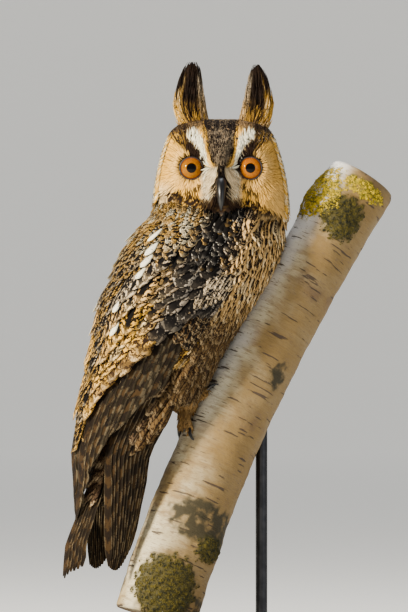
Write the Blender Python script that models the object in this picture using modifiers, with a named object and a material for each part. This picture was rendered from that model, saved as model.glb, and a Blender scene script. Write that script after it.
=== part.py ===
"""A long-eared owl at life size, perched on a cut length of birch that a display stand holds.

Metres, +Z up. The origin is the middle of the stand's underside. The bird is laid out in a frame of its
own: forward along its heading, right towards its right wing, and up. The head looks along -Y.
"""

import math
import random

import bmesh
import bpy
import numpy as np
from mathutils import Matrix

MM = 0.001
GAP = 0.3 * MM

# Directions of the bird: it sits side on, turned a little away, and looks back over its right shoulder.
HEADING = math.radians(20.0)
FORWARD = np.array([math.cos(HEADING), math.sin(HEADING), 0.0])
RIGHT = np.array([math.sin(HEADING), -math.cos(HEADING), 0.0])
UP = np.array([0.0, 0.0, 1.0])

# Plumage outline from the neck to the wing tips, in mm:
# height, how far forward the middle lies, half depth, half width.
OUTLINE = (
    (345.0, 5.0, 54.0, 54.0),
    (327.0, -2.2, 60.0, 57.5),
    (311.6, -9.6, 62.4, 60.0),
    (296.4, -17.0, 61.8, 61.0),
    (281.0, -25.5, 60.4, 61.0),
    (243.0, -42.3, 51.6, 56.0),
    (205.0, -57.6, 46.4, 48.0),
    (167.0, -74.5, 35.5, 40.0),
    (143.0, -76.8, 31.5, 34.0),
    (118.0, -80.2, 28.6, 30.0),
    (79.0, -86.0, 25.0, 26.0),
    (60.0, -88.0, 24.0, 25.0),
)
NECK_TOP = 342.5 * MM
NECK_FOOT = 326.0 * MM
VENT = 176.0 * MM
LEG_ROOM = 12.0 * MM

# The wing lies in a shallow seat on the torso: height, front edge and rear edge in degrees from the breast.
WING_SEAT = (
    (322.0, 104.0, 158.0),
    (303.0, 86.0, 162.0),
    (285.0, 68.0, 164.0),
    (266.0, 78.0, 165.0),
    (247.0, 80.0, 166.0),
    (215.0, 78.0, 168.0),
    (188.0, 66.0, 170.0),
    (150.0, 58.0, 172.0),
    (118.0, 56.0, 162.0),
    (104.0, 57.0, 110.0),
    (78.0, 58.0, 96.0),
)
WING_TOP = 318.0 * MM
WING_FOOT = 214.0 * MM
WING_SKIN = -2.2 * MM
WING_THIN_SKIN = -4.6 * MM
WING_ROOT_DEPTH = -7.1 * MM
SEAT_DEPTH = 8.0 * MM

# Faces that lie this flat to one another, in radians, are merged after a cut or a union.
FLATNESS = 0.004

# Feather blades: their thickness, and how far each one leans over the next.
VANE = 0.5 * MM
VANE_STEP = 1.3 * MM

# The head, in mm: height, half width, depth of the face and depth of the nape from the head's axis.
HEAD_AXIS = (8.2 * MM, 2.0 * MM)
HEAD_SECTIONS = (
    (342.5, 53.0, 45.0, 51.0),
    (357.0, 52.0, 45.5, 50.5),
    (367.0, 50.8, 45.5, 49.5),
    (380.0, 48.4, 44.0, 47.5),
    (393.0, 45.0, 41.0, 45.0),
    (403.0, 41.6, 36.0, 41.0),
    (411.0, 36.8, 28.5, 35.0),
    (415.8, 29.0, 20.0, 26.5),
    (418.6, 15.0, 9.0, 12.0),
)
EYE_HEIGHT = 380.9 * MM
EYE_SPREAD = 22.3 * MM
EYE_RADIUS = 10.4 * MM
EYE_SINK = 7.2 * MM
LID_THICKNESS = 1.1 * MM
NOSTRIL_RADIUS = 1.3 * MM

# The birch: its axis bends gently in the bird's own upright plane.
LOG_AXIS = ((-47.4, 41.0), (-5.4, 186.0), (121.0, 373.0))
LOG_SIDE = 10.0 * MM
LOG_RADIUS = (31.8 * MM, 27.0 * MM)
FOOT_STATION = 0.463
FOOT_RADIUS = 5.6 * MM
TOE_SIDES = 8
CLAW_SIDES = 6
FOOT_TURNS = {1: math.radians(5.0), -1: math.radians(-53.0)}

BASE_SIZE = (232.0 * MM, 164.0 * MM, 16.0 * MM)
ROD_RADIUS = 4.5 * MM


def clear_scene():
    for obj in list(bpy.data.objects):
        bpy.data.objects.remove(obj, do_unlink=True)
    for collection in list(bpy.data.collections):
        bpy.data.collections.remove(collection)


def material(name, colour, roughness, metallic=0.0):
    made = bpy.data.materials.new(name)
    made.use_nodes = True
    shader = made.node_tree.nodes["Principled BSDF"]
    shader.inputs["Base Color"].default_value = (*colour, 1.0)
    shader.inputs["Roughness"].default_value = roughness
    shader.inputs["Metallic"].default_value = metallic
    return made


def smoothstep(low, high, value):
    t = np.clip((value - low) / (high - low), 0.0, 1.0)
    return t * t * (3.0 - 2.0 * t)


def table_row(rows, height):
    """A table of sections read at any height, with smooth Catmull-Rom curves between its rows."""
    table = np.array(rows, float) * MM
    table = table[np.argsort(table[:, 0])]
    heights = table[:, 0]
    index = int(np.clip(np.searchsorted(heights, height) - 1, 0, len(heights) - 2))
    before = max(index - 1, 0)
    after = min(index + 2, len(heights) - 1)
    span = heights[index + 1] - heights[index]
    t = float(np.clip((height - heights[index]) / span, 0.0, 1.0))
    start, end = table[index, 1:], table[index + 1, 1:]
    slope_in = (end - table[before, 1:]) / (heights[index + 1] - heights[before]) * span
    slope_out = (table[after, 1:] - start) / (heights[after] - heights[index]) * span
    return (
        (2 * t**3 - 3 * t**2 + 1) * start
        + (t**3 - 2 * t**2 + t) * slope_in
        + (3 * t**2 - 2 * t**3) * end
        + (t**3 - t**2) * slope_out
    )


def bird_point(forward, right, height):
    return FORWARD * forward + RIGHT * right + UP * height


def outline_point(angle, height, lift=0.0):
    """A point of the plumage outline. The angle runs from the breast round the right side to the back."""
    middle, depth, width = table_row(OUTLINE, height)
    return bird_point(
        middle + (depth + lift) * math.cos(angle),
        (width + lift) * math.sin(angle),
        height,
    )


def outline_normal(angle, height):
    step = 0.5 * MM
    turn = 0.01
    across = outline_point(angle + turn, height) - outline_point(angle - turn, height)
    down = outline_point(angle, height - step) - outline_point(angle, height + step)
    normal = np.cross(across, down)
    normal /= np.linalg.norm(normal)
    out = outline_point(angle, height, 1.0 * MM) - outline_point(angle, height)
    return normal if normal @ out > 0 else -normal


def loft(name, rings, paint=None):
    """A closed solid through rings with equal counts of points, closed by a fan at each end."""
    mesh = bpy.data.meshes.new(name)
    work = bmesh.new()
    rows = [[work.verts.new(point) for point in ring] for ring in rings]
    count = len(rows[0])
    for lower, upper in zip(rows, rows[1:]):
        for i in range(count):
            j = (i + 1) % count
            work.faces.new((lower[i], lower[j], upper[j]))
            work.faces.new((lower[i], upper[j], upper[i]))
    for row, ring in ((rows[0], rings[0]), (rows[-1], rings[-1])):
        hub = work.verts.new(np.mean(np.array(ring), axis=0))
        for i in range(count):
            work.faces.new((row[i], row[(i + 1) % count], hub))
    bmesh.ops.recalc_face_normals(work, faces=work.faces)
    work.to_mesh(mesh)
    work.free()
    return place(name, mesh, paint)


def place(name, mesh, paint=None):
    obj = bpy.data.objects.new(name, mesh)
    bpy.context.scene.collection.objects.link(obj)
    if paint:
        mesh.materials.append(paint)
    return obj


def tube(name, path, radii, sides, paint=None):
    """A round limb that tapers along its path."""
    path = [np.array(point, float) for point in path]
    rings = []
    side = None
    for i, point in enumerate(path):
        along = path[min(i + 1, len(path) - 1)] - path[max(i - 1, 0)]
        along /= np.linalg.norm(along)
        if side is None:
            side = np.cross(along, UP if abs(along[2]) < 0.9 else FORWARD)
        side = side - along * (side @ along)
        side /= np.linalg.norm(side)
        other = np.cross(along, side)
        rings.append(
            [
                point + radii[i] * (math.cos(turn) * side + math.sin(turn) * other)
                for turn in np.linspace(0.0, 2.0 * math.pi, sides, endpoint=False)
            ]
        )
    return loft(name, rings, paint)


def sheet_vane(surface, index, shape, pitch, reach=1.0):
    """One feather as a closed blade on a sheet that it shares with its neighbours.

    The surface takes a place across the sheet, counted in feathers, a share of the length and a lift.
    The blade leans by the pitch a feather, so that each one clears the next by the same step everywhere.
    """
    work = bmesh.new()
    rows = []
    for share, half in shape:
        row = []
        for edge, face in ((-1, 0.5), (1, 0.5), (1, -0.5), (-1, -0.5)):
            lift = face * VANE - edge * half * pitch
            row.append(work.verts.new(surface(index + edge * half, share * reach, lift)))
        rows.append(row)
    for near, far in zip(rows, rows[1:]):
        for a, b in ((0, 1), (3, 2), (1, 2), (0, 3)):
            work.faces.new((near[a], near[b], far[b]))
            work.faces.new((near[a], far[b], far[a]))
    for row in (rows[0], rows[-1]):
        work.faces.new((row[0], row[1], row[2]))
        work.faces.new((row[0], row[2], row[3]))
    bmesh.ops.recalc_face_normals(work, faces=work.faces)
    mesh = bpy.data.meshes.new("vane")
    work.to_mesh(mesh)
    work.free()
    return place("vane", mesh)


def mix(pair, share):
    return pair[0] + (pair[1] - pair[0]) * share


def even_out(share):
    """Spreads a row's feathers so that they are as far apart round its front as along its back."""
    return share - 0.12 * share * (share - 1.0)


def row_fall(angle):
    """How far a row of wing feathers has fallen, in mm, where it reaches an angle in degrees."""
    past = angle - 104.0
    return 0.65 * (past + math.sqrt(past * past + 150.0)) - 20.0


def wing_level(angle, height):
    """Where a point of the wing lies between its rows: all of one row's tips are at one level, in mm."""
    return height / MM + row_fall(angle)


def evaluated_mesh(obj):
    graph = bpy.context.evaluated_depsgraph_get()
    return bpy.data.meshes.new_from_object(obj.evaluated_get(graph))


def settle(obj):
    """Applies the object's modifiers and keeps only its largest closed surface."""
    mesh = evaluated_mesh(obj)
    obj.modifiers.clear()
    old = obj.data
    obj.data = mesh
    bpy.data.meshes.remove(old)
    work = bmesh.new()
    work.from_mesh(mesh)
    left = set(work.verts)
    groups = []
    while left:
        group, queue = set(), [left.pop()]
        while queue:
            vert = queue.pop()
            group.add(vert)
            for edge in vert.link_edges:
                other = edge.other_vert(vert)
                if other in left:
                    left.remove(other)
                    queue.append(other)
        groups.append(group)
    groups.sort(key=lambda group: -spread(group))
    doomed = [vert for group in groups[1:] for vert in group]
    bmesh.ops.delete(work, geom=doomed, context="VERTS")
    bmesh.ops.dissolve_limit(work, angle_limit=FLATNESS, verts=work.verts, edges=work.edges)
    bmesh.ops.triangulate(work, faces=work.faces)
    work.to_mesh(mesh)
    work.free()
    return obj


def spread(group):
    """How much room a loose group of vertices takes up."""
    points = np.array([vert.co[:] for vert in group])
    return float(np.prod(points.max(axis=0) - points.min(axis=0)))


def boolean(obj, others, operation):
    """Joins closed meshes to the object, or cuts them out of it, and removes them."""
    group = bpy.data.collections.new("operands")
    bpy.context.scene.collection.children.link(group)
    for other in others:
        bpy.context.scene.collection.objects.unlink(other)
        group.objects.link(other)
    modifier = obj.modifiers.new(operation.lower(), "BOOLEAN")
    modifier.operation = operation
    modifier.operand_type = "COLLECTION"
    modifier.collection = group
    modifier.solver = "MANIFOLD"
    if not len(evaluated_mesh(obj).polygons):
        modifier.solver = "EXACT"
    settle(obj)
    for other in others:
        mesh = other.data
        bpy.data.objects.remove(other, do_unlink=True)
        bpy.data.meshes.remove(mesh)
    bpy.data.collections.remove(group)
    return obj


def seat_edges(height):
    """Front and rear edge of the wing's seat at a height, in degrees."""
    rows = np.array(WING_SEAT)[::-1]
    return tuple(np.interp(height / MM, rows[:, 0], rows[:, column]) for column in (1, 2))


def torso_ring(height, grow, sides=44):
    """A level section of the torso, sunk by the seat's depth where a wing lies on it."""
    front, rear = seat_edges(height)
    level = smoothstep(324.0 * MM, 312.0 * MM, height)
    close = smoothstep(VENT - 4.0 * MM, 232.0 * MM, height)
    below = smoothstep(240.0 * MM, 218.0 * MM, height)
    middle, depth, width = table_row(OUTLINE, height)
    middle = middle - 6.0 * MM * (1.0 - close)
    shrink = 0.55 + 0.45 * math.sqrt(close)
    ring = []
    for angle in np.linspace(0.0, 2.0 * math.pi, sides, endpoint=False):
        turn = math.degrees(min(angle, 2.0 * math.pi - angle))
        seat = smoothstep(front - 5.0, front + 4.0, turn) * smoothstep(rear + 6.0, rear - 4.0, turn)
        out = grow - SEAT_DEPTH * seat * level - LEG_ROOM * below * smoothstep(84.0, 40.0, turn)
        ring.append(
            bird_point(
                middle + (depth * shrink + out) * math.cos(angle),
                (width * shrink + out) * math.sin(angle),
                height,
            )
        )
    return ring


def torso_solid(name, grow=0.0, paint=None):
    heights = np.linspace(NECK_FOOT - GAP, 196.0 * MM, 15)
    rings = [torso_ring(height, grow) for height in heights]
    last = np.array(torso_ring(heights[-1], grow))
    middle = last.mean(axis=0)
    for drop, share in ((9.0, 0.86), (16.0, 0.62), (20.0, 0.3)):
        centre = middle - UP * (drop * MM + grow) - FORWARD * (drop * 0.35 * MM)
        rings.append([centre + (point - middle) * share for point in last])
    if grow:
        rings.insert(0, [point + UP * grow for point in rings[0]])
    return loft(name, rings, paint)


def make_torso(paint):
    """The torso, with a shallow groove where the belly presses on the birch."""
    torso = torso_solid("torso", 0.0, paint)
    return boolean(torso, [log_solid("cutter", GAP)], "DIFFERENCE")


def make_neck(paint):
    heights = np.linspace(NECK_FOOT, NECK_TOP - GAP, 3)
    turns = np.linspace(0.0, 2.0 * math.pi, 44, endpoint=False)
    rings = [[outline_point(turn, height) for turn in turns] for height in heights]
    return loft("neck", rings, paint)


def face_relief(x, z):
    """How far the face stands out from the plain head: a ridge between two dished, rimmed discs."""
    ridge = 7.0 * MM * math.exp(-((x / (8.5 * MM)) ** 2))
    ridge *= smoothstep(350.0 * MM, 362.0 * MM, z) * smoothstep(416.0 * MM, 388.0 * MM, z)
    far = math.hypot(abs(x) - EYE_SPREAD, (z - EYE_HEIGHT) * 0.85)
    dish = -4.0 * MM * smoothstep(25.0 * MM, 8.0 * MM, far)
    rim = 1.6 * MM * math.exp(-(((far - 27.0 * MM) / (4.5 * MM)) ** 2))
    return ridge + dish + rim


def eye_plane():
    """How far in front of the head's axis the plain head lies at the eyes."""
    width, face, _ = table_row(HEAD_SECTIONS, EYE_HEIGHT)
    return face * math.cos(math.asin((EYE_SPREAD / width) ** (1.0 / 0.86))) ** 0.8


def head_point(turn, height, grow=0.0):
    """A point of the head. The turn runs from the face round the bird's right cheek to the nape."""
    width, face, nape = table_row(HEAD_SECTIONS, height)
    front = math.cos(turn) > 0
    depth = face if front else nape
    power = 0.86 if front else 1.0
    x = -(width + grow) * math.copysign(abs(math.sin(turn)) ** power, math.sin(turn))
    y = -(depth + grow) * math.copysign(abs(math.cos(turn)) ** (0.8 if front else 1.0), math.cos(turn))
    if front:
        far = math.hypot(abs(x) - EYE_SPREAD, height - EYE_HEIGHT)
        level = 0.85 * smoothstep(19.0 * MM, 11.0 * MM, far)
        y += (-eye_plane() - y) * level
        y -= face_relief(x, height) * smoothstep(0.0, 0.35, math.cos(turn))
    return np.array([HEAD_AXIS[0] + x, HEAD_AXIS[1] + y, height])


def head_solid(name, grow=0.0, paint=None):
    crown = np.array([407.5, 412.5, 416.4, 418.6]) * MM
    heights = np.concatenate([np.linspace(NECK_TOP, 402.0 * MM, 12), crown])
    turns = np.linspace(0.0, 2.0 * math.pi, 40, endpoint=False)
    rings = [[head_point(turn, height, grow) for turn in turns] for height in heights]
    if grow:
        rings = [[point + UP * grow for point in ring] for ring in rings]
    return loft(name, rings, paint)


def eye_centre(side):
    """The middle of the eyeball. Side is 1 for the bird's right eye."""
    x = -side * EYE_SPREAD
    surface = eye_plane() + face_relief(x, EYE_HEIGHT)
    return np.array([HEAD_AXIS[0] + x, HEAD_AXIS[1] - surface + EYE_SINK, EYE_HEIGHT])


def ball(name, centre, radius, paint=None, segments=18, rings=10):
    mesh = bpy.data.meshes.new(name)
    work = bmesh.new()
    bmesh.ops.create_uvsphere(work, u_segments=segments, v_segments=rings, radius=radius)
    bmesh.ops.rotate(work, verts=work.verts, matrix=bmesh_turn(), cent=(0, 0, 0))
    bmesh.ops.translate(work, verts=work.verts, vec=tuple(centre))
    bmesh.ops.triangulate(work, faces=work.faces)
    work.to_mesh(mesh)
    work.free()
    return place(name, mesh, paint)


def bmesh_turn():
    """Lays a sphere's pole along -Y, so that an eye's rings run round its pupil."""
    return Matrix(((1.0, 0.0, 0.0), (0.0, 0.0, -1.0), (0.0, 1.0, 0.0)))


def lid_ring(name, centre, paint):
    """The two lids as one ring that hugs the eyeball round its opening."""
    inner = EYE_RADIUS + GAP
    outer = inner + LID_THICKNESS
    profile = ((inner, 50.0), (outer, 52.0), (outer, 72.0), (inner, 72.0))
    rings = []
    for turn in np.linspace(0.0, 2.0 * math.pi, 28, endpoint=False):
        ring = []
        for radius, degrees in profile:
            off = math.radians(degrees)
            ring.append(
                centre
                + radius * np.array([math.sin(off) * math.cos(turn), -math.cos(off),
                                     math.sin(off) * math.sin(turn)])
            )
        rings.append(ring)
    work = bmesh.new()
    rows = [[work.verts.new(point) for point in ring] for ring in rings]
    for i, row in enumerate(rows):
        after = rows[(i + 1) % len(rows)]
        for j in range(len(profile)):
            k = (j + 1) % len(profile)
            work.faces.new((row[j], row[k], after[k], after[j]))
    bmesh.ops.recalc_face_normals(work, faces=work.faces)
    bmesh.ops.triangulate(work, faces=work.faces)
    mesh = bpy.data.meshes.new(name)
    work.to_mesh(mesh)
    work.free()
    return place(name, mesh, paint)


def bill_path(lower):
    """The curve of a mandible, from deep in the face to its tip."""
    face = HEAD_AXIS[1] - 48.0 * MM
    if lower:
        rows = ((16.0, 362.0), (4.0, 358.5), (-3.0, 354.3), (-6.0, 350.4))
    else:
        rows = ((16.0, 371.0), (3.0, 371.0), (-5.5, 368.0), (-10.0, 361.3), (-11.0, 354.2), (-9.6, 348.4))
    return [np.array([HEAD_AXIS[0], face + y * MM, z * MM]) for y, z in rows]


def mandible(name, lower, grow=0.0, paint=None):
    """One half of the bill, a curved horn that is deeper than it is wide."""
    path = bill_path(lower)
    halves = ((3.4, 2.6), (3.2, 2.4), (2.4, 1.8), (0.9, 0.7)) if lower else (
        (4.4, 5.4), (4.4, 5.2), (4.0, 4.8), (3.2, 3.9), (2.1, 2.6), (0.5, 0.6))
    rings = []
    for i, point in enumerate(path):
        along = path[min(i + 1, len(path) - 1)] - path[max(i - 1, 0)]
        along /= np.linalg.norm(along)
        side = np.array([1.0, 0.0, 0.0])
        top = np.cross(side, along)
        wide, deep = halves[i]
        rings.append(
            [
                point
                + side * ((wide * MM + grow) * math.cos(turn))
                + top * ((deep * MM + grow) * math.sin(turn))
                for turn in np.linspace(0.0, 2.0 * math.pi, 12, endpoint=False)
            ]
        )
    if grow:
        last = path[-1] + (path[-1] - path[-2]) / np.linalg.norm(path[-1] - path[-2]) * grow * 2
        rings.append([last + (point - path[-1]) * 0.5 for point in rings[-1]])
    return loft(name, rings, paint)


def nostril_centre(side):
    return np.array([HEAD_AXIS[0] + side * 4.6 * MM, HEAD_AXIS[1] - 53.0 * MM, 370.2 * MM])


def make_bill(paint):
    upper = mandible("bill_upper", False, 0.0, paint)
    lower = mandible("bill_lower", True, 0.0, paint)
    boolean(lower, [mandible("cutter", False, GAP)], "DIFFERENCE")
    nostrils = [
        ball("cutter", nostril_centre(side), NOSTRIL_RADIUS, None, 8, 6)
        for side in (-1, 1)
    ]
    boolean(upper, nostrils, "DIFFERENCE")
    return upper, lower


def make_head(paint, eye_paint, lid_paint, bill_paint):
    head = head_solid("head", 0.0, paint)
    cutters = []
    for side, word in ((1, "right"), (-1, "left")):
        centre = eye_centre(side)
        ball(f"eye_{word}", centre, EYE_RADIUS, eye_paint)
        lid_ring(f"eyelids_{word}", centre, lid_paint)
        cutters.append(ball("cutter", centre, EYE_RADIUS + LID_THICKNESS + 2.0 * GAP))
    cutters.append(mandible("cutter", False, GAP))
    cutters.append(mandible("cutter", True, GAP))
    boolean(head, cutters, "DIFFERENCE")
    make_bill(bill_paint)
    return head


# The middle line of each ear tuft, seen from the front: how far out from the head's middle, and height.
TUFT_LINES = {1: ((18.5, 405.0), (20.0, 421.0), (24.0, 437.0), (22.0, 462.5)),
              -1: ((20.5, 405.0), (23.0, 420.0), (28.0, 436.0), (31.0, 459.0))}


TUFT_ROOT = {1: ((18.5, 404.0), (19.5, 416.0), (20.5, 423.0)),
             -1: ((20.5, 404.0), (22.0, 416.0), (23.5, 423.0))}

# Half widths of an ear tuft's fan of feather shafts, from root to tip, in mm.
TUFT_SPREAD = (4.5, 8.3, 10.0, 3.6)
TUFT_BACK = (-6.0, -6.0, -3.0, 2.0)
TUFT_FEATHERS = 7
TUFT_SHAPE = ((0.0, 0.7), (0.45, 1.0), (0.82, 0.92), (1.0, 0.35))


def tuft_surface(side):
    """The sheet of an ear tuft, a flat fan that bends inwards and back."""
    line = np.array(TUFT_LINES[side])
    steps = np.linspace(0.0, 1.0, len(line))

    def surface(index, share, lift):
        across = (index / (TUFT_FEATHERS - 1) - 0.5) * 2.0
        spread = np.interp(share, steps, TUFT_SPREAD)
        out = np.interp(share, steps, line[:, 0]) + across * spread
        up = np.interp(share, steps, line[:, 1]) - 0.5 * abs(across) * spread * share
        back = np.interp(share, steps, TUFT_BACK) + 2.5 * across * across
        return np.array([HEAD_AXIS[0] - side * out * MM, HEAD_AXIS[1] + back * MM - lift, up * MM])

    return surface


def tuft_vanes(side):
    """The feathers of an ear tuft, the middle ones longest."""
    surface = tuft_surface(side)
    made = []
    for index in range(TUFT_FEATHERS):
        off = abs(index - 0.5 * (TUFT_FEATHERS - 1)) / TUFT_FEATHERS
        reach = 1.0 - 0.32 * off - 0.04 * (index % 2)
        made.append(sheet_vane(surface, index, TUFT_SHAPE, VANE_STEP, reach))
    return made


def make_tuft(side, word, paint):
    base = tube(
        f"ear_tuft_{word}",
        [
            [HEAD_AXIS[0] - side * out * MM, HEAD_AXIS[1] + back * MM, up * MM]
            for (out, up), back in zip(TUFT_ROOT[side], TUFT_BACK)
        ],
        (10.0 * MM, 8.5 * MM, 4.5 * MM),
        10,
        paint,
    )
    boolean(base, tuft_vanes(side), "UNION")
    return boolean(base, [head_solid("cutter", GAP)], "DIFFERENCE")


def wing_core(name, side, paint=None):
    """The arm of the folded wing with its small coverts, a curved slab in its seat on the torso.

    It is full where the rows of coverts are rooted and thins out under the flight feathers.
    """
    rows = 7
    columns = 9
    work = bmesh.new()
    faces = []
    for outside in (True, False):
        grid = []
        for i in range(rows):
            height = mix((WING_TOP, WING_FOOT), i / (rows - 1))
            front, rear = seat_edges(height)
            line = []
            for j in range(columns):
                angle = front + (rear - front) * j / (columns - 1)
                lift = WING_ROOT_DEPTH
                if outside:
                    thin = smoothstep(262.0, 232.0, wing_level(angle, height))
                    lift = mix((WING_SKIN, WING_THIN_SKIN), thin)
                line.append(work.verts.new(outline_point(side * math.radians(angle), height, lift)))
            grid.append(line)
        faces.append(grid)
    outer, inner = faces
    for i in range(rows - 1):
        for j in range(columns - 1):
            for grid in (outer, inner):
                work.faces.new((grid[i][j], grid[i][j + 1], grid[i + 1][j + 1]))
                work.faces.new((grid[i][j], grid[i + 1][j + 1], grid[i + 1][j]))
        for j in (0, columns - 1):
            work.faces.new((outer[i][j], inner[i][j], inner[i + 1][j], outer[i + 1][j]))
    for j in range(columns - 1):
        for i in (0, rows - 1):
            work.faces.new((outer[i][j], inner[i][j], inner[i][j + 1], outer[i][j + 1]))
    bmesh.ops.recalc_face_normals(work, faces=work.faces)
    bmesh.ops.triangulate(work, faces=work.faces)
    mesh = bpy.data.meshes.new(name)
    work.to_mesh(mesh)
    work.free()
    return place(name, mesh, paint)


# Widths of a feather from root to tip: share of the length, half width counted in feathers of its row.
COVERT_SHAPE = ((0.0, 0.55), (0.7, 0.76), (1.0, 0.36))
SECONDARY_SHAPE = ((0.0, 0.5), (0.4, 0.72), (0.86, 0.75), (1.0, 0.38))
PRIMARY_SHAPE = ((0.0, 0.6), (0.5, 0.85), (0.88, 0.9), (1.0, 0.45))
COVERT_LIFTS = ((0.0, -4.2), (32.0, 0.6))

# Rows of the wing: how many feathers, angles of the first and last root, and of the first and last tip,
# levels of roots and tips, then how high the row lies at each distance below the roots' level, its shape,
# and how far each feather leans over the next.
WING_ROWS = {
    "secondaries": (8, (103.0, 152.0), (105.0, 172.0), 272.0, 198.0,
                    ((0.0, -5.6), (22.0, -3.4), (74.0, -0.8)),
                    SECONDARY_SHAPE, 2.0),
    "greater_coverts": (8, (80.0, 160.0), (84.0, 164.0), 284.0, 252.0, COVERT_LIFTS, COVERT_SHAPE, 1.6),
    "median_coverts": (6, (106.0, 160.0), (109.0, 165.0), 304.0, 272.0, COVERT_LIFTS, COVERT_SHAPE, 1.6),
    "lesser_coverts": (4, (127.0, 160.0), (130.0, 164.0), 324.0, 292.0, COVERT_LIFTS, COVERT_SHAPE, 1.6),
    "scapulars": (3, (145.0, 161.0), (147.0, 164.0), 344.0, 312.0, COVERT_LIFTS, COVERT_SHAPE, 1.6),
}

# The wing tip, as angles and heights of its first and last feather: at the roots, half way and at the tips.
PRIMARIES = (((75.0, 230.0), (96.0, 230.0)), ((62.0, 158.0), (101.0, 158.0)), ((58.0, 92.0), (96.0, 78.0)))
PRIMARY_COVERTS = (
    ((76.0, 268.0), (92.0, 266.0)), ((76.0, 252.0), (92.0, 249.0)), ((77.0, 234.0), (93.0, 229.0))
)


def lie_on_outline(side, angle, height, lift):
    turn = side * math.radians(angle)
    return outline_point(turn, height * MM) + outline_normal(turn, height * MM) * lift


def row_vanes(side, row, rng):
    """One row of feathers that fall together down the wing."""
    count, root_angles, tip_angles, root_level, tip_level, lifts, shape, step = row
    falls, heights = zip(*lifts)

    def surface(index, share, lift):
        along = even_out(index / (count - 1))
        root, tip = mix(root_angles, along), mix(tip_angles, along)
        angle = mix((root, tip), share)
        height = mix((root_level - row_fall(root), tip_level - row_fall(tip)), share)
        down = root_level - height - row_fall(angle)
        return lie_on_outline(side, angle, height, lift + np.interp(down, falls, heights) * MM)

    return [
        sheet_vane(surface, index, shape, step * MM, rng.uniform(0.97, 1.02)) for index in range(count)
    ]


def fan_vanes(side, rows, count, lifts, shape, bow):
    """The feathers of the hand, which fan out from the wrist. The bow sets how far the middle tips reach."""

    def surface(index, share, lift):
        along = index / (count - 1)
        corners = [np.array([mix((first[k], last[k]), along) for k in (0, 1)]) for first, last in rows]
        corners[2][1] -= bow * math.sin(math.pi * np.clip(along, 0.0, 1.0))
        reach = 2.0 * min(share, 0.999)
        part = int(reach)
        angle, height = mix((corners[part], corners[part + 1]), reach - part)
        return lie_on_outline(side, angle, height, lift + np.interp(share, (0.0, 0.3, 1.0), lifts) * MM)

    return [sheet_vane(surface, index, shape, VANE_STEP) for index in range(count)]


def wing_vanes(side):
    """All the vanes of one wing, with small differences from feather to feather."""
    rng = random.Random(11)
    made = fan_vanes(side, PRIMARIES, 7, (-6.2, -5.6, -4.0), PRIMARY_SHAPE, 8.0)
    made += fan_vanes(side, PRIMARY_COVERTS, 4, (-3.6, -3.0, -2.2), COVERT_SHAPE, 2.0)
    for row in WING_ROWS.values():
        made += row_vanes(side, row, rng)
    return made


def make_wing(side, word, paint):
    wing = wing_core(f"wing_{word}", side, paint)
    boolean(wing, wing_vanes(side), "UNION")
    return boolean(wing, [torso_solid("cutter", GAP)], "DIFFERENCE")


# The rump that carries the tail: height, how far back, half depth and half width, in mm.
RUMP = (
    (200.0, -66.0, 11.0, 14.0),
    (180.0, -76.0, 9.5, 15.0),
    (160.0, -83.0, 7.5, 15.0),
    (146.0, -87.0, 4.0, 12.0),
)
# The tail's upper side along its middle: height and how far back, in mm.
TAIL_LINE = ((172.0, -84.5), (142.0, -95.5), (122.0, -104.5), (97.0, -115.0), (72.0, -117.5))
TAIL_HALF = 6
TAIL_SHAPE = ((0.0, 1.2), (0.3, 1.6), (0.5, 1.6), (0.75, 1.55), (1.0, 0.8))
TAIL_ARCH = 80.0


def tail_surface(side):
    """One half of the tail's fan. Feathers are counted outwards from the middle line."""
    line = np.array(TAIL_LINE)

    def surface(index, share, lift):
        height = mix((line[0, 0], line[-1, 0]), share)
        back = np.interp(-height, -line[:, 0], line[:, 1])
        across = max((index + 0.5) * mix((1.5, 3.4), share), 0.2)
        arch = across * across / TAIL_ARCH
        return bird_point((back + arch) * MM - lift, side * across * MM, height * MM)

    return surface


def tail_vanes(side):
    """The tail feathers of one side, each a step below the one nearer the middle."""
    surface = tail_surface(side)
    made = []
    for index in range(TAIL_HALF):
        def lowered(at, share, lift, drop=index * VANE_STEP):
            return surface(at, share, lift - drop)

        made.append(sheet_vane(lowered, index, TAIL_SHAPE, 0.0, 1.0 - 0.012 * index))
    return made


def make_tail(paint):
    """The rump with the tail's twelve feathers in a narrow fan, the middle pair on top."""
    rings = [
        [
            bird_point((middle + deep * math.cos(turn)) * MM, wide * math.sin(turn) * MM, height * MM)
            for turn in np.linspace(0.0, 2.0 * math.pi, 12, endpoint=False)
        ]
        for height, middle, deep, wide in RUMP
    ]
    tail = loft("tail", rings, paint)
    boolean(tail, tail_vanes(1) + tail_vanes(-1), "UNION")
    return boolean(tail, [torso_solid("cutter", GAP)], "DIFFERENCE")


def log_axis(share):
    """A point of the birch's axis and its direction, at a share of the length from the foot."""
    low, bend, high = (np.array(point) * MM for point in LOG_AXIS)
    spot = (1 - share) ** 2 * low + 2 * share * (1 - share) * bend + share**2 * high
    along = 2 * (1 - share) * (bend - low) + 2 * share * (high - bend)
    along /= np.linalg.norm(along)
    return bird_point(spot[0], LOG_SIDE, spot[1]), bird_point(along[0], 0.0, along[1])


# Knots and moss on the bark: share of the length, degrees round from the top, height, reach along and round.
BARK_SWELLS = (
    (0.93, 14.0, 4.6, 0.045, 44.0),
    (0.89, 72.0, 4.0, 0.038, 34.0),
    (0.11, 70.0, 4.5, 0.06, 42.0),
    (0.2, 128.0, 3.0, 0.045, 28.0),
    (0.55, 112.0, 1.6, 0.03, 16.0),
    (0.28, 205.0, 2.4, 0.04, 24.0),
    (0.7, 250.0, 2.0, 0.04, 20.0),
)


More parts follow.
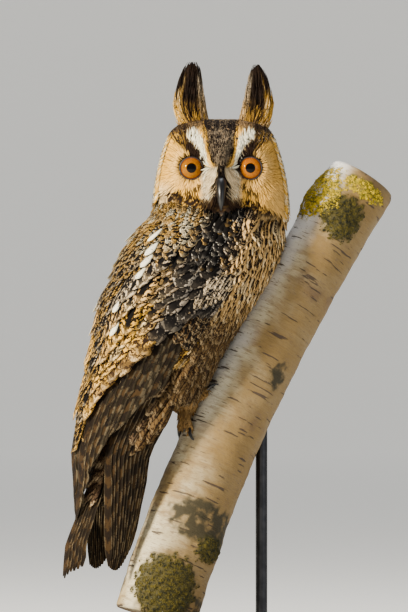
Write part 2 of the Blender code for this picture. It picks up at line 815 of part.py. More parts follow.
def log_point(share, turn, lift=0.0):
    """A point on the bark. The turn runs from the upper side round the bird's right."""
    centre, along = log_axis(share)
    upper = np.cross(along, RIGHT)
    upper = upper if upper[2] > 0 else -upper
    radius = LOG_RADIUS[0] + (LOG_RADIUS[1] - LOG_RADIUS[0]) * share
    for at, degrees, high, reach, arc in BARK_SWELLS:
        off = (math.degrees(turn) - degrees + 180.0) % 360.0 - 180.0
        radius += high * MM * math.exp(-(((share - at) / reach) ** 2) - (off / arc) ** 2)
    return centre + (radius + lift) * (upper * math.cos(turn) + RIGHT * math.sin(turn))


def log_solid(name, grow=0.0, paint=None):
    turns = np.linspace(0.0, 2.0 * math.pi, 32, endpoint=False)
    shares = np.concatenate([[0.0], np.linspace(0.02, 0.98, 15), [1.0]])
    rings = []
    for share in shares:
        edge = -1.2 * MM if share in (0.0, 1.0) else 0.0
        rings.append([log_point(share, turn, edge + grow) for turn in turns])
    if grow:
        for end, way in ((0, -1.0), (-1, 1.0)):
            along = log_axis(float(shares[end]))[1]
            rings[end] = [point + along * way * grow for point in rings[end]]
    return loft(name, rings, paint)


# Each foot grips with two toes up the birch and two down it: reach along and round, in mm, and radius.
TOES = ((19.0, -5.0, 3.9), (18.0, 9.0, 3.7), (-17.0, 10.0, 3.5), (-16.0, -4.0, 3.6))


TOE_TAPER = (1.05, 1.0, 0.95, 0.9, 0.5)
CLAW_RADII = (1.7, 1.5, 1.05, 0.3)


def toe_path(side, toe):
    """Where a toe runs over the bark: points from the foot's middle to the toe's end."""
    reach, round_by, radius = toe
    length = 372.0
    mid = LOG_RADIUS[0] * 0.5 + LOG_RADIUS[1] * 0.5
    points = []
    for t in (0.0, 0.3, 0.62, 0.86, 1.0):
        share = FOOT_STATION + (reach / length) * t
        turn = FOOT_TURNS[side] + side * (round_by * MM / mid) * t
        lift = (radius * 0.9 + 3.4 * math.sin(math.pi * t) * (1.0 - t) + 2.6 * (1.0 - t)) * MM
        points.append(log_point(share, turn, lift))
    return points


def claw_path(side, toe):
    """A claw's curve, out of the end of its toe and down to the bark."""
    path = toe_path(side, toe)
    end = path[-1]
    along = path[-1] - path[-2]
    along /= np.linalg.norm(along)
    down = log_axis(FOOT_STATION)[0] - end
    down -= along * (down @ along)
    down /= np.linalg.norm(down)
    steps = ((-3.0, 0.0), (2.5, -0.6), (6.0, 0.4), (8.4, 2.8))
    return [end + along * (out * MM) + down * (drop * MM) for out, drop in steps]


def claw_socket(side, toe):
    """The hollow that takes a claw: the claw with the gap all round it."""
    return tube("cutter", claw_path(side, toe), [radius * MM + GAP for radius in CLAW_RADII], CLAW_SIDES)


def foot_cutters(side):
    """The foot with its toes and claws, grown by the gap that keeps its neighbours clear."""
    middle = log_point(FOOT_STATION, FOOT_TURNS[side], FOOT_RADIUS)
    made = [ball("cutter", middle, FOOT_RADIUS + GAP, None, 12, 8)]
    for toe in TOES:
        radii = [toe[2] * MM * share + GAP for share in TOE_TAPER]
        made.append(tube("cutter", toe_path(side, toe), radii, TOE_SIDES))
        made.append(claw_socket(side, toe))
    return made


def make_foot(side, word, paint, claw_paint):
    middle = log_point(FOOT_STATION, FOOT_TURNS[side], FOOT_RADIUS)
    foot = ball(f"foot_{word}", middle, FOOT_RADIUS, paint, 12, 8)
    toes = [
        tube("toe", toe_path(side, toe), [toe[2] * MM * share for share in TOE_TAPER], TOE_SIDES)
        for toe in TOES
    ]
    boolean(foot, toes, "UNION")
    sockets = [claw_socket(side, toe) for toe in TOES]
    boolean(foot, [log_solid("cutter", GAP), *sockets], "DIFFERENCE")
    for number, toe in enumerate(TOES, 1):
        radii = [radius * MM for radius in CLAW_RADII]
        claw = tube(f"claw_{word}_{number}", claw_path(side, toe), radii, CLAW_SIDES, claw_paint)
        boolean(claw, [log_solid("cutter", GAP)], "DIFFERENCE")
    return foot


def make_leg(side, word, paint):
    """A feathered leg from the belly down to the foot."""
    foot = log_point(FOOT_STATION, FOOT_TURNS[side], FOOT_RADIUS)
    hip = bird_point(-38.0 * MM, side * 18.0 * MM, 232.0 * MM)
    knee = bird_point(-25.0 * MM, side * 17.0 * MM, 215.0 * MM)
    path = [hip, knee, knee * 0.5 + foot * 0.5, foot]
    leg = tube(f"leg_{word}", path, [radius * MM for radius in (15.0, 13.0, 10.5, 7.0)], 12, paint)
    cutters = [torso_solid("cutter", GAP), log_solid("cutter", GAP), *foot_cutters(side)]
    return boolean(leg, cutters, "DIFFERENCE")


def make_stand(base_paint, rod_paint):
    """A flat plinth with two rods up to the birch's underside."""
    bpy.ops.mesh.primitive_cube_add(size=1.0, location=(0.0, 0.0, 0.0))
    base = bpy.context.object
    base.name = "stand_base"
    base.scale = BASE_SIZE
    base.location = (0.0, 0.0, BASE_SIZE[2] / 2)
    bpy.ops.object.transform_apply(location=True, rotation=False, scale=True)
    base.data.materials.append(base_paint)
    bevel = base.modifiers.new("rounded edges", "BEVEL")
    bevel.width = 3.0 * MM
    bevel.segments = 2
    bevel.limit_method = "ANGLE"
    for name, forward, reach in (("stand_rod_low", -40.0, 60.0), ("stand_rod_high", 38.0, 195.0)):
        foot = bird_point(forward * MM, LOG_SIDE, BASE_SIZE[2] + GAP)
        top = bird_point(forward * MM, LOG_SIDE, reach * MM)
        bpy.ops.mesh.primitive_cylinder_add(
            vertices=24, radius=ROD_RADIUS, depth=float(top[2] - foot[2]), location=tuple((foot + top) / 2)
        )
        rod = bpy.context.object
        rod.name = name
        bpy.ops.object.transform_apply(location=True, rotation=True, scale=True)
        rod.data.materials.append(rod_paint)
        boolean(rod, [log_solid("cutter", GAP)], "DIFFERENCE")
    return base


def gather(name):
    """Puts every finished piece in one collection named for the object."""
    group = bpy.data.collections.new(name)
    bpy.context.scene.collection.children.link(group)
    for obj in list(bpy.context.scene.collection.objects):
        bpy.context.scene.collection.objects.unlink(obj)
        group.objects.link(obj)


def main():
    clear_scene()
    plumage = material("plumage", (0.36, 0.25, 0.14), 0.9)
    flight = material("flight_feathers", (0.24, 0.17, 0.1), 0.8)
    face = material("face", (0.66, 0.47, 0.27), 0.9)
    iris = material("iris", (0.95, 0.42, 0.02), 0.1)
    horn = material("horn", (0.03, 0.03, 0.035), 0.35)
    down = material("leg_down", (0.68, 0.5, 0.3), 0.95)
    bark = material("birch_bark", (0.75, 0.7, 0.62), 0.8)
    plinth = material("plinth_wood", (0.1, 0.06, 0.04), 0.4)
    steel = material("dark_steel", (0.08, 0.08, 0.085), 0.35, 1.0)
    make_torso(plumage)
    make_neck(plumage)
    make_head(face, iris, horn, horn)
    for side, word in ((1, "right"), (-1, "left")):
        make_tuft(side, word, flight)
        make_wing(side, word, flight)
        make_foot(side, word, down, horn)
        make_leg(side, word, down)
    make_tail(flight)
    log_solid("perch", 0.0, bark)
    make_stand(plinth, steel)
    gather("long_eared_owl")


if __name__ == "__main__":
    main()
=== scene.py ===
"""Looks of the long-eared owl display model: skin, plumage, eyes, bill, claws, birch perch and stand.

Everything is in metres, +Z up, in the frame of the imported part. The bird's right side faces the camera,
which looks along +Y. A turn runs round the bird from the camera's side over the left of the picture, an
angle runs from the breast over the bird's right side to its back, and both are in radians in the code.
"""

import logging
import math
from dataclasses import dataclass, field
from enum import Enum
from functools import partial
from typing import Callable, Sequence

import bpy
import numpy as np
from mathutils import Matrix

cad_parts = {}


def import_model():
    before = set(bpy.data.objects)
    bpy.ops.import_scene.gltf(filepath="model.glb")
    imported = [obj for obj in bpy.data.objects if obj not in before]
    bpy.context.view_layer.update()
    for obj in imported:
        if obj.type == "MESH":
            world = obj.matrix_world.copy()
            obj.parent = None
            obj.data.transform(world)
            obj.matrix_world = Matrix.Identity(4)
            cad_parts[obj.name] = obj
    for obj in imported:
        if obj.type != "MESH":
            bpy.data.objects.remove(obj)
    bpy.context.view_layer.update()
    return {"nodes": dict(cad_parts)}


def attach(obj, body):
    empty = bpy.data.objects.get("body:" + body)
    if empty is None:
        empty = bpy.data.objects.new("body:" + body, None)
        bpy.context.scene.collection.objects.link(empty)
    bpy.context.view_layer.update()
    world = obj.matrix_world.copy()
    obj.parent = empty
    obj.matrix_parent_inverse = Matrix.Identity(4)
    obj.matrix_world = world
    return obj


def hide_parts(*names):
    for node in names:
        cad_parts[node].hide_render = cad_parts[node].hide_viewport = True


Array = np.ndarray
Value = float | np.ndarray
Rng = np.random.Generator
Piece = bpy.types.Object

LOG = logging.getLogger("owl")
MM = 0.001
TAU = 2.0 * math.pi
BODY = "root"
VANE_MAP = "Vane"
BAKE_MAP = "OFBake"
BAKE_PATCH = 0.003
BAKE_EDGE = 0.015
BAKE_SPAN = 0.97
EYE_ACROSS = 22.3


def rgb(red: float, green: float, blue: float) -> Array:
    """Turns a display colour from 0 to 255 into the linear one that a shader takes."""
    share = np.array([red, green, blue], float) / 255.0
    return np.where(share <= 0.04045, share / 12.92, ((share + 0.055) / 1.055) ** 2.4)


def smooth(low: float, high: float, value: Value) -> Value:
    """Eases from 0 to 1 as the value goes from low to high. It takes numbers and arrays alike."""
    share = np.clip((value - low) / (high - low), 0.0, 1.0)
    return share * share * (3.0 - 2.0 * share)


def hump(value: Value, middle: Value, reach: float) -> Value:
    """A soft bump of height 1 round a middle."""
    return np.exp(-(((value - middle) / reach) ** 2))


def unit(vectors: Array) -> Array:
    """Scales vectors along the last axis to length 1."""
    return vectors / np.maximum(np.linalg.norm(vectors, axis=-1, keepdims=True), 1e-12)


def wrapped(turn: Value) -> Value:
    """A turn in radians, brought between minus and plus half a turn."""
    return (turn + math.pi) % TAU - math.pi


def sections(rows: Array, at: Value) -> list[Array]:
    """Reads a table of sections at some heights: each column but the first, the heights' own."""
    return [np.interp(at, rows[:, 0], rows[:, k]) for k in range(1, rows.shape[1])]


def shaft(stations: int) -> Array:
    """Even shares from 0 to 1 along a shaft, as one row."""
    return np.linspace(0.0, 1.0, stations)[None]


def word_of(side: int) -> str:
    """The word for a side of the bird: 1 is its right."""
    return "right" if side == 1 else "left"


def curve_rows(rows: Sequence[Sequence[float]], step: float = 0.5) -> Array:
    """Fills a table of sections with close rows on smooth curves.

    Args:
        rows: Sections in mm, each starting with its height.
        step: Distance between the heights of the close rows, in mm.

    Returns:
        The close rows in metres, by rising height.
    """
    table = np.array(sorted(rows), float)
    heights = table[:, 0]
    slopes = np.gradient(table, axis=0)
    slopes[1:-1] = (table[2:] - table[:-2]) / (heights[2:] - heights[:-2])[:, None]
    slopes[0] = (table[1] - table[0]) / (heights[1] - heights[0])
    slopes[-1] = (table[-1] - table[-2]) / (heights[-1] - heights[-2])
    at = np.arange(heights[0], heights[-1] + step * 0.5, step)
    index = np.clip(np.searchsorted(heights, at) - 1, 0, len(heights) - 2)
    span = (heights[index + 1] - heights[index])[:, None]
    t = np.clip((at[:, None] - heights[index][:, None]) / span, 0.0, 1.0)
    close = (
        (2 * t**3 - 3 * t**2 + 1) * table[index]
        + (t**3 - 2 * t**2 + t) * slopes[index] * span
        + (3 * t**2 - 2 * t**3) * table[index + 1]
        + (t**3 - t**2) * slopes[index + 1] * span
    )
    close[:, 0] = at
    return close * MM


@dataclass
class Form:
    """The outer form of the owl's plumage, with the sizes that the solids have.

    Outline rows hold height, middle forward, depth and width of the body, and head rows hold height, width,
    depth of the face and depth of the nape, all in mm.
    """

    heading: float = math.radians(20.0)
    outline: tuple = (
        (345.0, 5.0, 54.0, 54.0), (327.0, -2.2, 60.0, 57.5), (311.6, -9.6, 62.4, 60.0),
        (296.4, -17.0, 61.8, 61.0), (281.0, -25.5, 60.4, 61.0), (243.0, -42.3, 51.6, 56.0),
        (205.0, -57.6, 46.4, 48.0), (167.0, -74.5, 35.5, 40.0), (143.0, -76.8, 31.5, 34.0),
        (118.0, -80.2, 28.6, 30.0), (79.0, -86.0, 25.0, 26.0), (60.0, -88.0, 24.0, 25.0),
    )
    head_sections: tuple = (
        (342.5, 53.0, 45.0, 51.0), (357.0, 52.0, 45.5, 50.5), (367.0, 50.8, 45.5, 49.5),
        (380.0, 48.4, 44.0, 47.5), (393.0, 45.0, 41.0, 45.0), (403.0, 41.6, 36.0, 41.0),
        (411.0, 36.8, 28.5, 35.0), (415.8, 29.0, 20.0, 26.5), (418.6, 15.0, 9.0, 12.0),
    )
    head_axis: tuple = (8.2 * MM, 2.0 * MM)
    crown: float = 418.6 * MM
    crown_dome: float = 0.9 * MM
    neck: tuple = (334.0 * MM, 352.0 * MM)
    vent: float = 176.0 * MM
    leg_room: float = 12.0 * MM
    eye_height: float = 380.9 * MM
    eye_spread: float = EYE_ACROSS * MM
    eye_radius: float = 10.4 * MM
    eye_sink: float = 7.2 * MM
    head_floor: float = 342.5 * MM
    body_top: float = 345.0 * MM
    side_power: float = 0.86
    face_power: float = 0.8

    def __post_init__(self) -> None:
        """Works out the directions and the close tables."""
        self.forward = np.array([math.cos(self.heading), math.sin(self.heading), 0.0])
        self.right = np.array([math.sin(self.heading), -math.cos(self.heading), 0.0])
        self.body_rows = curve_rows(self.outline)
        self.head_rows = curve_rows(self.head_sections, 0.1)
        self.turn_of_breast = math.radians(110.0)
        self._measure_meridian()

    def _measure_meridian(self) -> None:
        """Tabulates height and ring size by the distance down from the crown."""
        radius = 15.0 * MM
        shares = np.linspace(0.0, 1.0, 16)
        cap = np.stack([self.crown + self.crown_dome * (1.0 - shares**2), shares], axis=1)
        heights = np.arange(self.crown, 60.0 * MM, -0.5 * MM)
        rest = np.stack([heights, np.ones(len(heights))], axis=1)
        table = np.concatenate([cap[:-1], rest])
        widths = sections(self.head_rows, table[:, 0])[0] * table[:, 1]
        widths[:15] = radius * shares[:-1]
        widths = np.where(table[:, 0] > self.head_floor, widths, self.head_sections[0][1] * MM)
        steps = np.hypot(np.diff(table[:, 0]), np.diff(widths))
        self.meridian = np.concatenate([[0.0], np.cumsum(steps)])
        self.meridian_height = table[:, 0]
        self.meridian_share = table[:, 1]

    def bird_point(self, forward: Value, right: Value, height: Value) -> Array:
        """A point from its distances forward, to the bird's right and up."""
        flat = np.multiply.outer(forward, self.forward) + np.multiply.outer(right, self.right)
        flat[..., 2] += height
        return flat

    def outline_point(self, angle: Array, height: Array, lift: Value) -> Array:
        """Points of the body's outline, by angle from the breast, height and lift."""
        middle, depth, width = sections(self.body_rows, height)
        return self.bird_point(
            middle + (depth + lift) * np.cos(angle), (width + lift) * np.sin(angle), height
        )

    def face_relief(self, x: Value, height: Value) -> Value:
        """How far the face stands out from the plain head: a ridge between two dished, rimmed discs."""
        ridge = 7.0 * MM * hump(x, 0.0, 8.5 * MM)
        ridge = ridge * smooth(350.0 * MM, 362.0 * MM, height) * smooth(416.0 * MM, 388.0 * MM, height)
        far = np.hypot(np.abs(x) - self.eye_spread, (height - self.eye_height) * 0.85)
        dish = -4.0 * MM * smooth(25.0 * MM, 8.0 * MM, far)
        return ridge + dish + 1.6 * MM * hump(far, 27.0 * MM, 4.5 * MM)

    def eye_plane(self) -> float:
        """How far in front of the head's axis the plain head lies at the eyes."""
        width, face, _ = sections(self.head_rows, self.eye_height)
        turn = math.asin((self.eye_spread / width) ** (1.0 / self.side_power))
        return face * math.cos(turn) ** self.face_power

    def head_point(self, turn: Array, height: Array, lift: Value) -> Array:
        """Points of the head, by turn from the face, height and lift."""
        width, face, nape = sections(self.head_rows, height)
        cos, sin = np.cos(turn), np.sin(turn)
        front = cos > 0
        depth = np.where(front, face, nape)
        x = -(width + lift) * np.copysign(np.abs(sin) ** np.where(front, self.side_power, 1.0), sin)
        y = -(depth + lift) * np.copysign(np.abs(cos) ** np.where(front, self.face_power, 1.0), cos)
        far = np.hypot(np.abs(x) - self.eye_spread, height - self.eye_height)
        level = np.where(front, 0.85 * smooth(19.0 * MM, 11.0 * MM, far), 0.0)
        y = y + (-self.eye_plane() - lift - y) * level
        y = y - np.where(front, self.face_relief(x, height) * smooth(0.0, 0.35, cos), 0.0)
        return np.stack([self.head_axis[0] + x, self.head_axis[1] + y, height + 0.0 * x], axis=-1)

    def face_point(self, x: Array, height: Array, lift: Value) -> Array:
        """Points of the face, by distance to the right of the picture from its middle, and height."""
        width = sections(self.head_rows, height)[0]
        share = np.clip(np.abs(x) / (width + lift), 0.0, 1.0) ** (1.0 / self.side_power)
        turn = -np.sign(x) * np.arcsin(np.clip(share, 0.0, 0.9999))
        return self.head_point(turn, height, lift)

    def height_at(self, down: Value) -> Array:
        """The height of the plumage at a distance down from the crown."""
        return np.interp(down, self.meridian, self.meridian_height)

    def breast_angle(self, turn: Value) -> Value:
        """A turn as an angle from the breast, between minus and plus half a turn."""
        return wrapped(turn + self.turn_of_breast)

    def plumage(self, turn: Array, down: Array, lift: Value) -> Array:
        """Points of head and body, by turn, distance down from the crown and lift."""
        height = self.height_at(down)
        share = np.interp(down, self.meridian, self.meridian_share)
        ring = np.minimum(height, self.crown)
        head_ring, body_ring = np.maximum(ring, self.head_floor), np.minimum(ring, self.body_top)
        head = self.head_point(turn, head_ring, lift * share)
        head[..., 2] += ring - head_ring
        body = self.outline_point(turn + self.turn_of_breast, body_ring, lift)
        body[..., 2] += ring - body_ring
        blend = smooth(*self.neck, ring)[..., None]
        points = body * (1.0 - blend) + head * blend
        middle = np.array([*self.head_axis, 0.0])
        flat = points - middle
        flat[..., :2] *= share[..., None]
        points = middle + flat
        points[..., 2] += height - ring + lift * (1.0 - share)
        return points

    def down_at(self, height: Value) -> Array:
        """The distance down from the crown at which the plumage has a height."""
        return np.interp(-np.asarray(height), -self.meridian_height, self.meridian)

    def eye_centre(self, side: int) -> Array:
        """The middle of an eyeball. Side is 1 for the bird's right eye."""
        x = -side * self.eye_spread
        surface = self.eye_plane() + float(self.face_relief(x, self.eye_height))
        y = self.head_axis[1] - surface + self.eye_sink
        return np.array([self.head_axis[0] + x, y, self.eye_height])

    def flesh(self, turn: Array, height: Array, depth: Value) -> Array:
        """Points of the torso under its coat, which closes below the belly."""
        angle = turn + self.turn_of_breast
        middle, deep, wide = sections(self.body_rows, height)
        close = smooth(self.vent - 4.0 * MM, 232.0 * MM, height)
        below = smooth(240.0 * MM, 218.0 * MM, height)
        degrees = np.abs((np.degrees(angle) + 180.0) % 360.0 - 180.0)
        shrink = 0.55 + 0.45 * np.sqrt(close)
        out = -depth - self.leg_room * below * smooth(84.0, 40.0, degrees)
        middle = middle - 6.0 * MM * (1.0 - close)
        return self.bird_point(
            middle + (deep * shrink + out) * np.cos(angle), (wide * shrink + out) * np.sin(angle), height
        )

    def bake_spot(self, points: Array) -> Array:
        """Where points lie on the unwrap of the skin: turn round the bird across, height upwards."""
        height = points[..., 2]
        middle = sections(self.body_rows, height)[0]
        blend = smooth(*self.neck, height)
        x = middle * self.forward[0] * (1 - blend) + self.head_axis[0] * blend
        y = middle * self.forward[1] * (1 - blend) + self.head_axis[1] * blend
        turn = np.arctan2(-(points[..., 0] - x), -(points[..., 1] - y))
        across = (turn / TAU + 0.5) * BAKE_SPAN + BAKE_EDGE
        up = np.clip((height - 60.0 * MM) / (410.0 * MM), 0.0, 1.0) * BAKE_SPAN + BAKE_EDGE
        return np.stack([across, up], axis=-1)


@dataclass
class Dress:
    """The colours and marks of a batch of feathers, one row for each feather.

    Marks hold, in this order: half width of the dark shaft streak, strength of the fine vermiculation,
    tenths of the number of dark bars, and how pale the tip is.
    """

    tint: Array
    dark: Array
    marks: Array

    @staticmethod
    def plain(count: int, tint: "Tone", dark: "Tone", marks: Sequence[float]) -> "Dress":
        """The same colours and marks for each feather of a batch."""
        return Dress(*(np.tile(row, (count, 1)) for row in (tint.linear, dark.linear, marks)))

    def dye(self, *coats: tuple[Array, Array]) -> None:
        """Lays colours over the feathers' own, as pairs of a colour and its share for each feather."""
        self.tint = dye(self.tint, *coats)

    def vary(self, rng: Rng, amount: float) -> "Dress":
        """Makes each feather a little lighter or darker than the next."""
        self.tint = self.tint * (1.0 + amount * rng.uniform(-1.0, 1.0, (len(self.tint), 1)))
        self.marks = np.clip(self.marks * rng.uniform(0.8, 1.2, self.marks.shape), 0.0, 1.0)
        return self


def store_colours(mesh: bpy.types.Mesh, name: str, values: Array) -> None:
    """Stores a colour for each vertex."""
    attribute = mesh.attributes.new(name, "FLOAT_COLOR", "POINT")
    attribute.data.foreach_set("color", values.astype(np.float32).reshape(-1))


def store_map(mesh: bpy.types.Mesh, name: str, values: Array) -> None:
    """Stores a place on an unwrap for each corner."""
    layer = mesh.uv_layers.new(name=name)
    layer.data.foreach_set("uv", values.astype(np.float32).reshape(-1))


@dataclass
class Vanes:
    """Feathers as closed vanes, gathered in arrays and made into one mesh at the end."""

    form: Form
    name: str
    points: list = field(default_factory=list)
    loops: list = field(default_factory=list)
    totals: list = field(default_factory=list)
    maps: list = field(default_factory=list)
    bakes: list = field(default_factory=list)
    tints: list = field(default_factory=list)
    darks: list = field(default_factory=list)
    marks: list = field(default_factory=list)
    used: int = 0
    rng: Rng = field(default_factory=lambda: np.random.default_rng(2))

    def add(self, centres: Array, sides: Array, normals: Array, halves: Array,
            thickness: float, camber: float, dress: Dress, columns: int = 3) -> None:
        """Adds a batch of vanes.

        Args:
            centres: Points along each shaft, feathers by stations by 3.
            sides: Unit vectors across the vane at those points.
            normals: Unit vectors out of the vane's upper face at those points.
            halves: Half widths at the stations, feathers by stations.
            thickness: Thickness at the shaft.
            camber: How far the edges curve down, for each metre of half width.
            dress: Colours and marks of the batch.
            columns: Points across the upper face, an odd number.
        """
        count, stations = halves.shape
        halves = halves * self.rng.uniform(0.86, 1.08, halves.shape)
        across = np.linspace(-1.0, 1.0, columns)
        order = np.concatenate([np.arange(columns), np.arange(columns - 2, 0, -1)])
        under = np.concatenate([np.zeros(columns), np.ones(columns - 2)])
        x = across[order]
        drop = -camber * halves[..., None] * x**2 - under * thickness * (1.0 - x**2)
        grid = (
            centres[:, :, None]
            + sides[:, :, None] * (halves[..., None] * x)[..., None]
            + normals[:, :, None] * drop[..., None]
        )
        ring = len(x)
        base = self.used + (np.arange(count) * stations * ring)[:, None]
        j = np.arange(stations - 1)[:, None] * ring
        k = np.arange(ring)[None, :]
        after = (k + 1) % ring
        quad = np.stack([j + k, j + after, j + ring + after, j + ring + k], axis=-1).reshape(-1)
        cap = np.concatenate([np.arange(ring)[::-1], (stations - 1) * ring + np.arange(ring)])
        loop = np.concatenate([quad, cap])
        totals = np.concatenate([np.full(len(quad) // 4, 4), [ring, ring]])
        self.loops.append((base + loop[None]).reshape(-1))
        self.totals.append(np.tile(totals, count))
        u = np.tile(x * 0.5 + 0.5, stations)
        v = np.repeat(np.linspace(0.0, 1.0, stations), ring)
        uv = np.stack([u, v], axis=-1)
        self.maps.append(np.tile(uv[loop], (count, 1)))
        spot = self.form.bake_spot(centres[:, 0])
        patch = spot[:, None] + (uv[loop][None] - 0.5) * BAKE_PATCH
        self.bakes.append(patch.reshape(-1, 2))
        self.points.append(grid.reshape(-1, 3))
        for store, values in ((self.tints, dress.tint), (self.darks, dress.dark)):
            full = np.concatenate([values, np.ones((count, 1))], axis=1)
            store.append(np.repeat(full, stations * ring, axis=0))
        self.marks.append(np.repeat(dress.marks, stations * ring, axis=0))
        self.used += count * stations * ring

    def lay(self, place: Callable, a: Array, b: Array, lift: Array, halves: Array,
            dress: Dress, thickness: float = 0.25 * MM, camber: float = 0.25, columns: int = 3,
            lean: Value = 0.0, lap: float = 0.0) -> None:
        """Adds vanes whose shafts follow paths on a surface.

        Args:
            place: The surface, which takes two coordinates and a lift.
            a: First coordinate along each path, feathers by stations.
            b: Second coordinate.
            lift: Height over the surface.
            halves: Half widths.
            dress: Colours and marks of the batch.
            thickness: Thickness at the shaft.
            camber: How far the edges curve down.
            columns: Points across the upper face.
            lean: Roll of each vane about its shaft, in radians.
            lap: How far each vane of the batch leans over the one before it.
        """
        centres = place(a, b, lift)
        step = 1e-4
        outward = unit(place(a, b, lift + MM) - centres)
        da = unit(place(a + step, b, lift) - place(a - step, b, lift))
        db = unit(place(a, b + step, lift) - place(a, b - step, lift))
        normals = unit(np.cross(da, db))
        normals *= np.sign(np.sum(normals * outward, axis=-1, keepdims=True))
        along = unit(np.gradient(centres, axis=1))
        sides = unit(np.cross(along, normals))
        normals = unit(np.cross(sides, along))
        roll = np.asarray(lean, float).reshape(-1, 1, 1)
        if lap:
            gap = np.gradient(centres, axis=0)
            way = np.sign(np.sum(gap * sides, axis=-1))
            roll = (-way * np.arctan(lap / np.maximum(np.linalg.norm(gap, axis=-1), MM)))[..., None]
        sides, normals = (
            sides * np.cos(roll) + normals * np.sin(roll),
            normals * np.cos(roll) - sides * np.sin(roll),
        )
        self.add(centres, sides, normals, halves, thickness, camber, dress, columns)

    def build(self) -> Piece:
        """Makes the gathered vanes one mesh object.

        Returns:
            The object, at the origin.
        """
        mesh = bpy.data.meshes.new(self.name)
        points = np.concatenate(self.points)
        loops = np.concatenate(self.loops)
        totals = np.concatenate(self.totals)
        mesh.vertices.add(len(points))
        mesh.vertices.foreach_set("co", points.astype(np.float32).reshape(-1))
        mesh.loops.add(len(loops))
        mesh.loops.foreach_set("vertex_index", loops.astype(np.int32))
        mesh.polygons.add(len(totals))
        starts = np.concatenate([[0], np.cumsum(totals)[:-1]])
        mesh.polygons.foreach_set("loop_start", starts.astype(np.int32))
        mesh.polygons.foreach_set("loop_total", totals.astype(np.int32))
        for name, values in ((VANE_MAP, self.maps), (BAKE_MAP, self.bakes)):
            store_map(mesh, name, np.concatenate(values))
        for name, values in (("tint", self.tints), ("dark", self.darks), ("marks", self.marks)):
            store_colours(mesh, name, np.concatenate(values))
        mesh.validate()
        mesh.update()
        mesh.polygons.foreach_set("use_smooth", np.ones(len(totals), bool))
        piece = bpy.data.objects.new(self.name, mesh)
        bpy.context.scene.collection.objects.link(piece)
        return piece


def feather_profile(kind: str, stations: int) -> Array:
    """Half widths of a vane from root to tip, as shares of its widest place."""
    s = np.linspace(0.0, 1.0, stations)
    if kind == "round":
        return np.interp(s, (0.0, 0.2, 0.5, 0.78, 0.92, 1.0), (0.3, 0.72, 1.0, 0.95, 0.68, 0.22))
    if kind == "long":
        return np.interp(s, (0.0, 0.15, 0.5, 0.85, 0.95, 1.0), (0.4, 0.8, 1.0, 0.95, 0.7, 0.25))
    return np.interp(s, (0.0, 0.3, 0.7, 1.0), (0.5, 1.0, 0.8, 0.1))


class Tone(Enum):
    """Named colours of the plumage, as seen in soft daylight."""

    GOLD = (216, 164, 58)
    BUFF = (206, 164, 98)
    DISC = (250, 191, 76)
    CREAM = (244, 222, 178)
    WHITE = (255, 250, 222)
    GREY = (176, 158, 132)
    ASH = (170, 168, 166)
    TAUPE = (132, 106, 78)
    BROWN = (80, 60, 36)
    UMBER = (36, 24, 16)
    SOOT = (12, 10, 10)
    DOWN = (158, 124, 76)

    @property
    def linear(self) -> Array:
        """The colour as a shader takes it."""
        return rgb(*self.value)


def dye(base: Array, *coats: tuple[Array, Array]) -> Array:
    """Lays colours over a batch of colours, feather by feather.

    Args:
        base: The colours to start with, one row for each feather, or one colour for all.
        coats: Pairs of a colour, or a row of colours, and its share for each feather.

    Returns:
        The colours, one row for each feather.
    """
    for colour, share in coats:
        share = np.asarray(share)[:, None]
        base = base * (1.0 - share) + colour * share
    return base


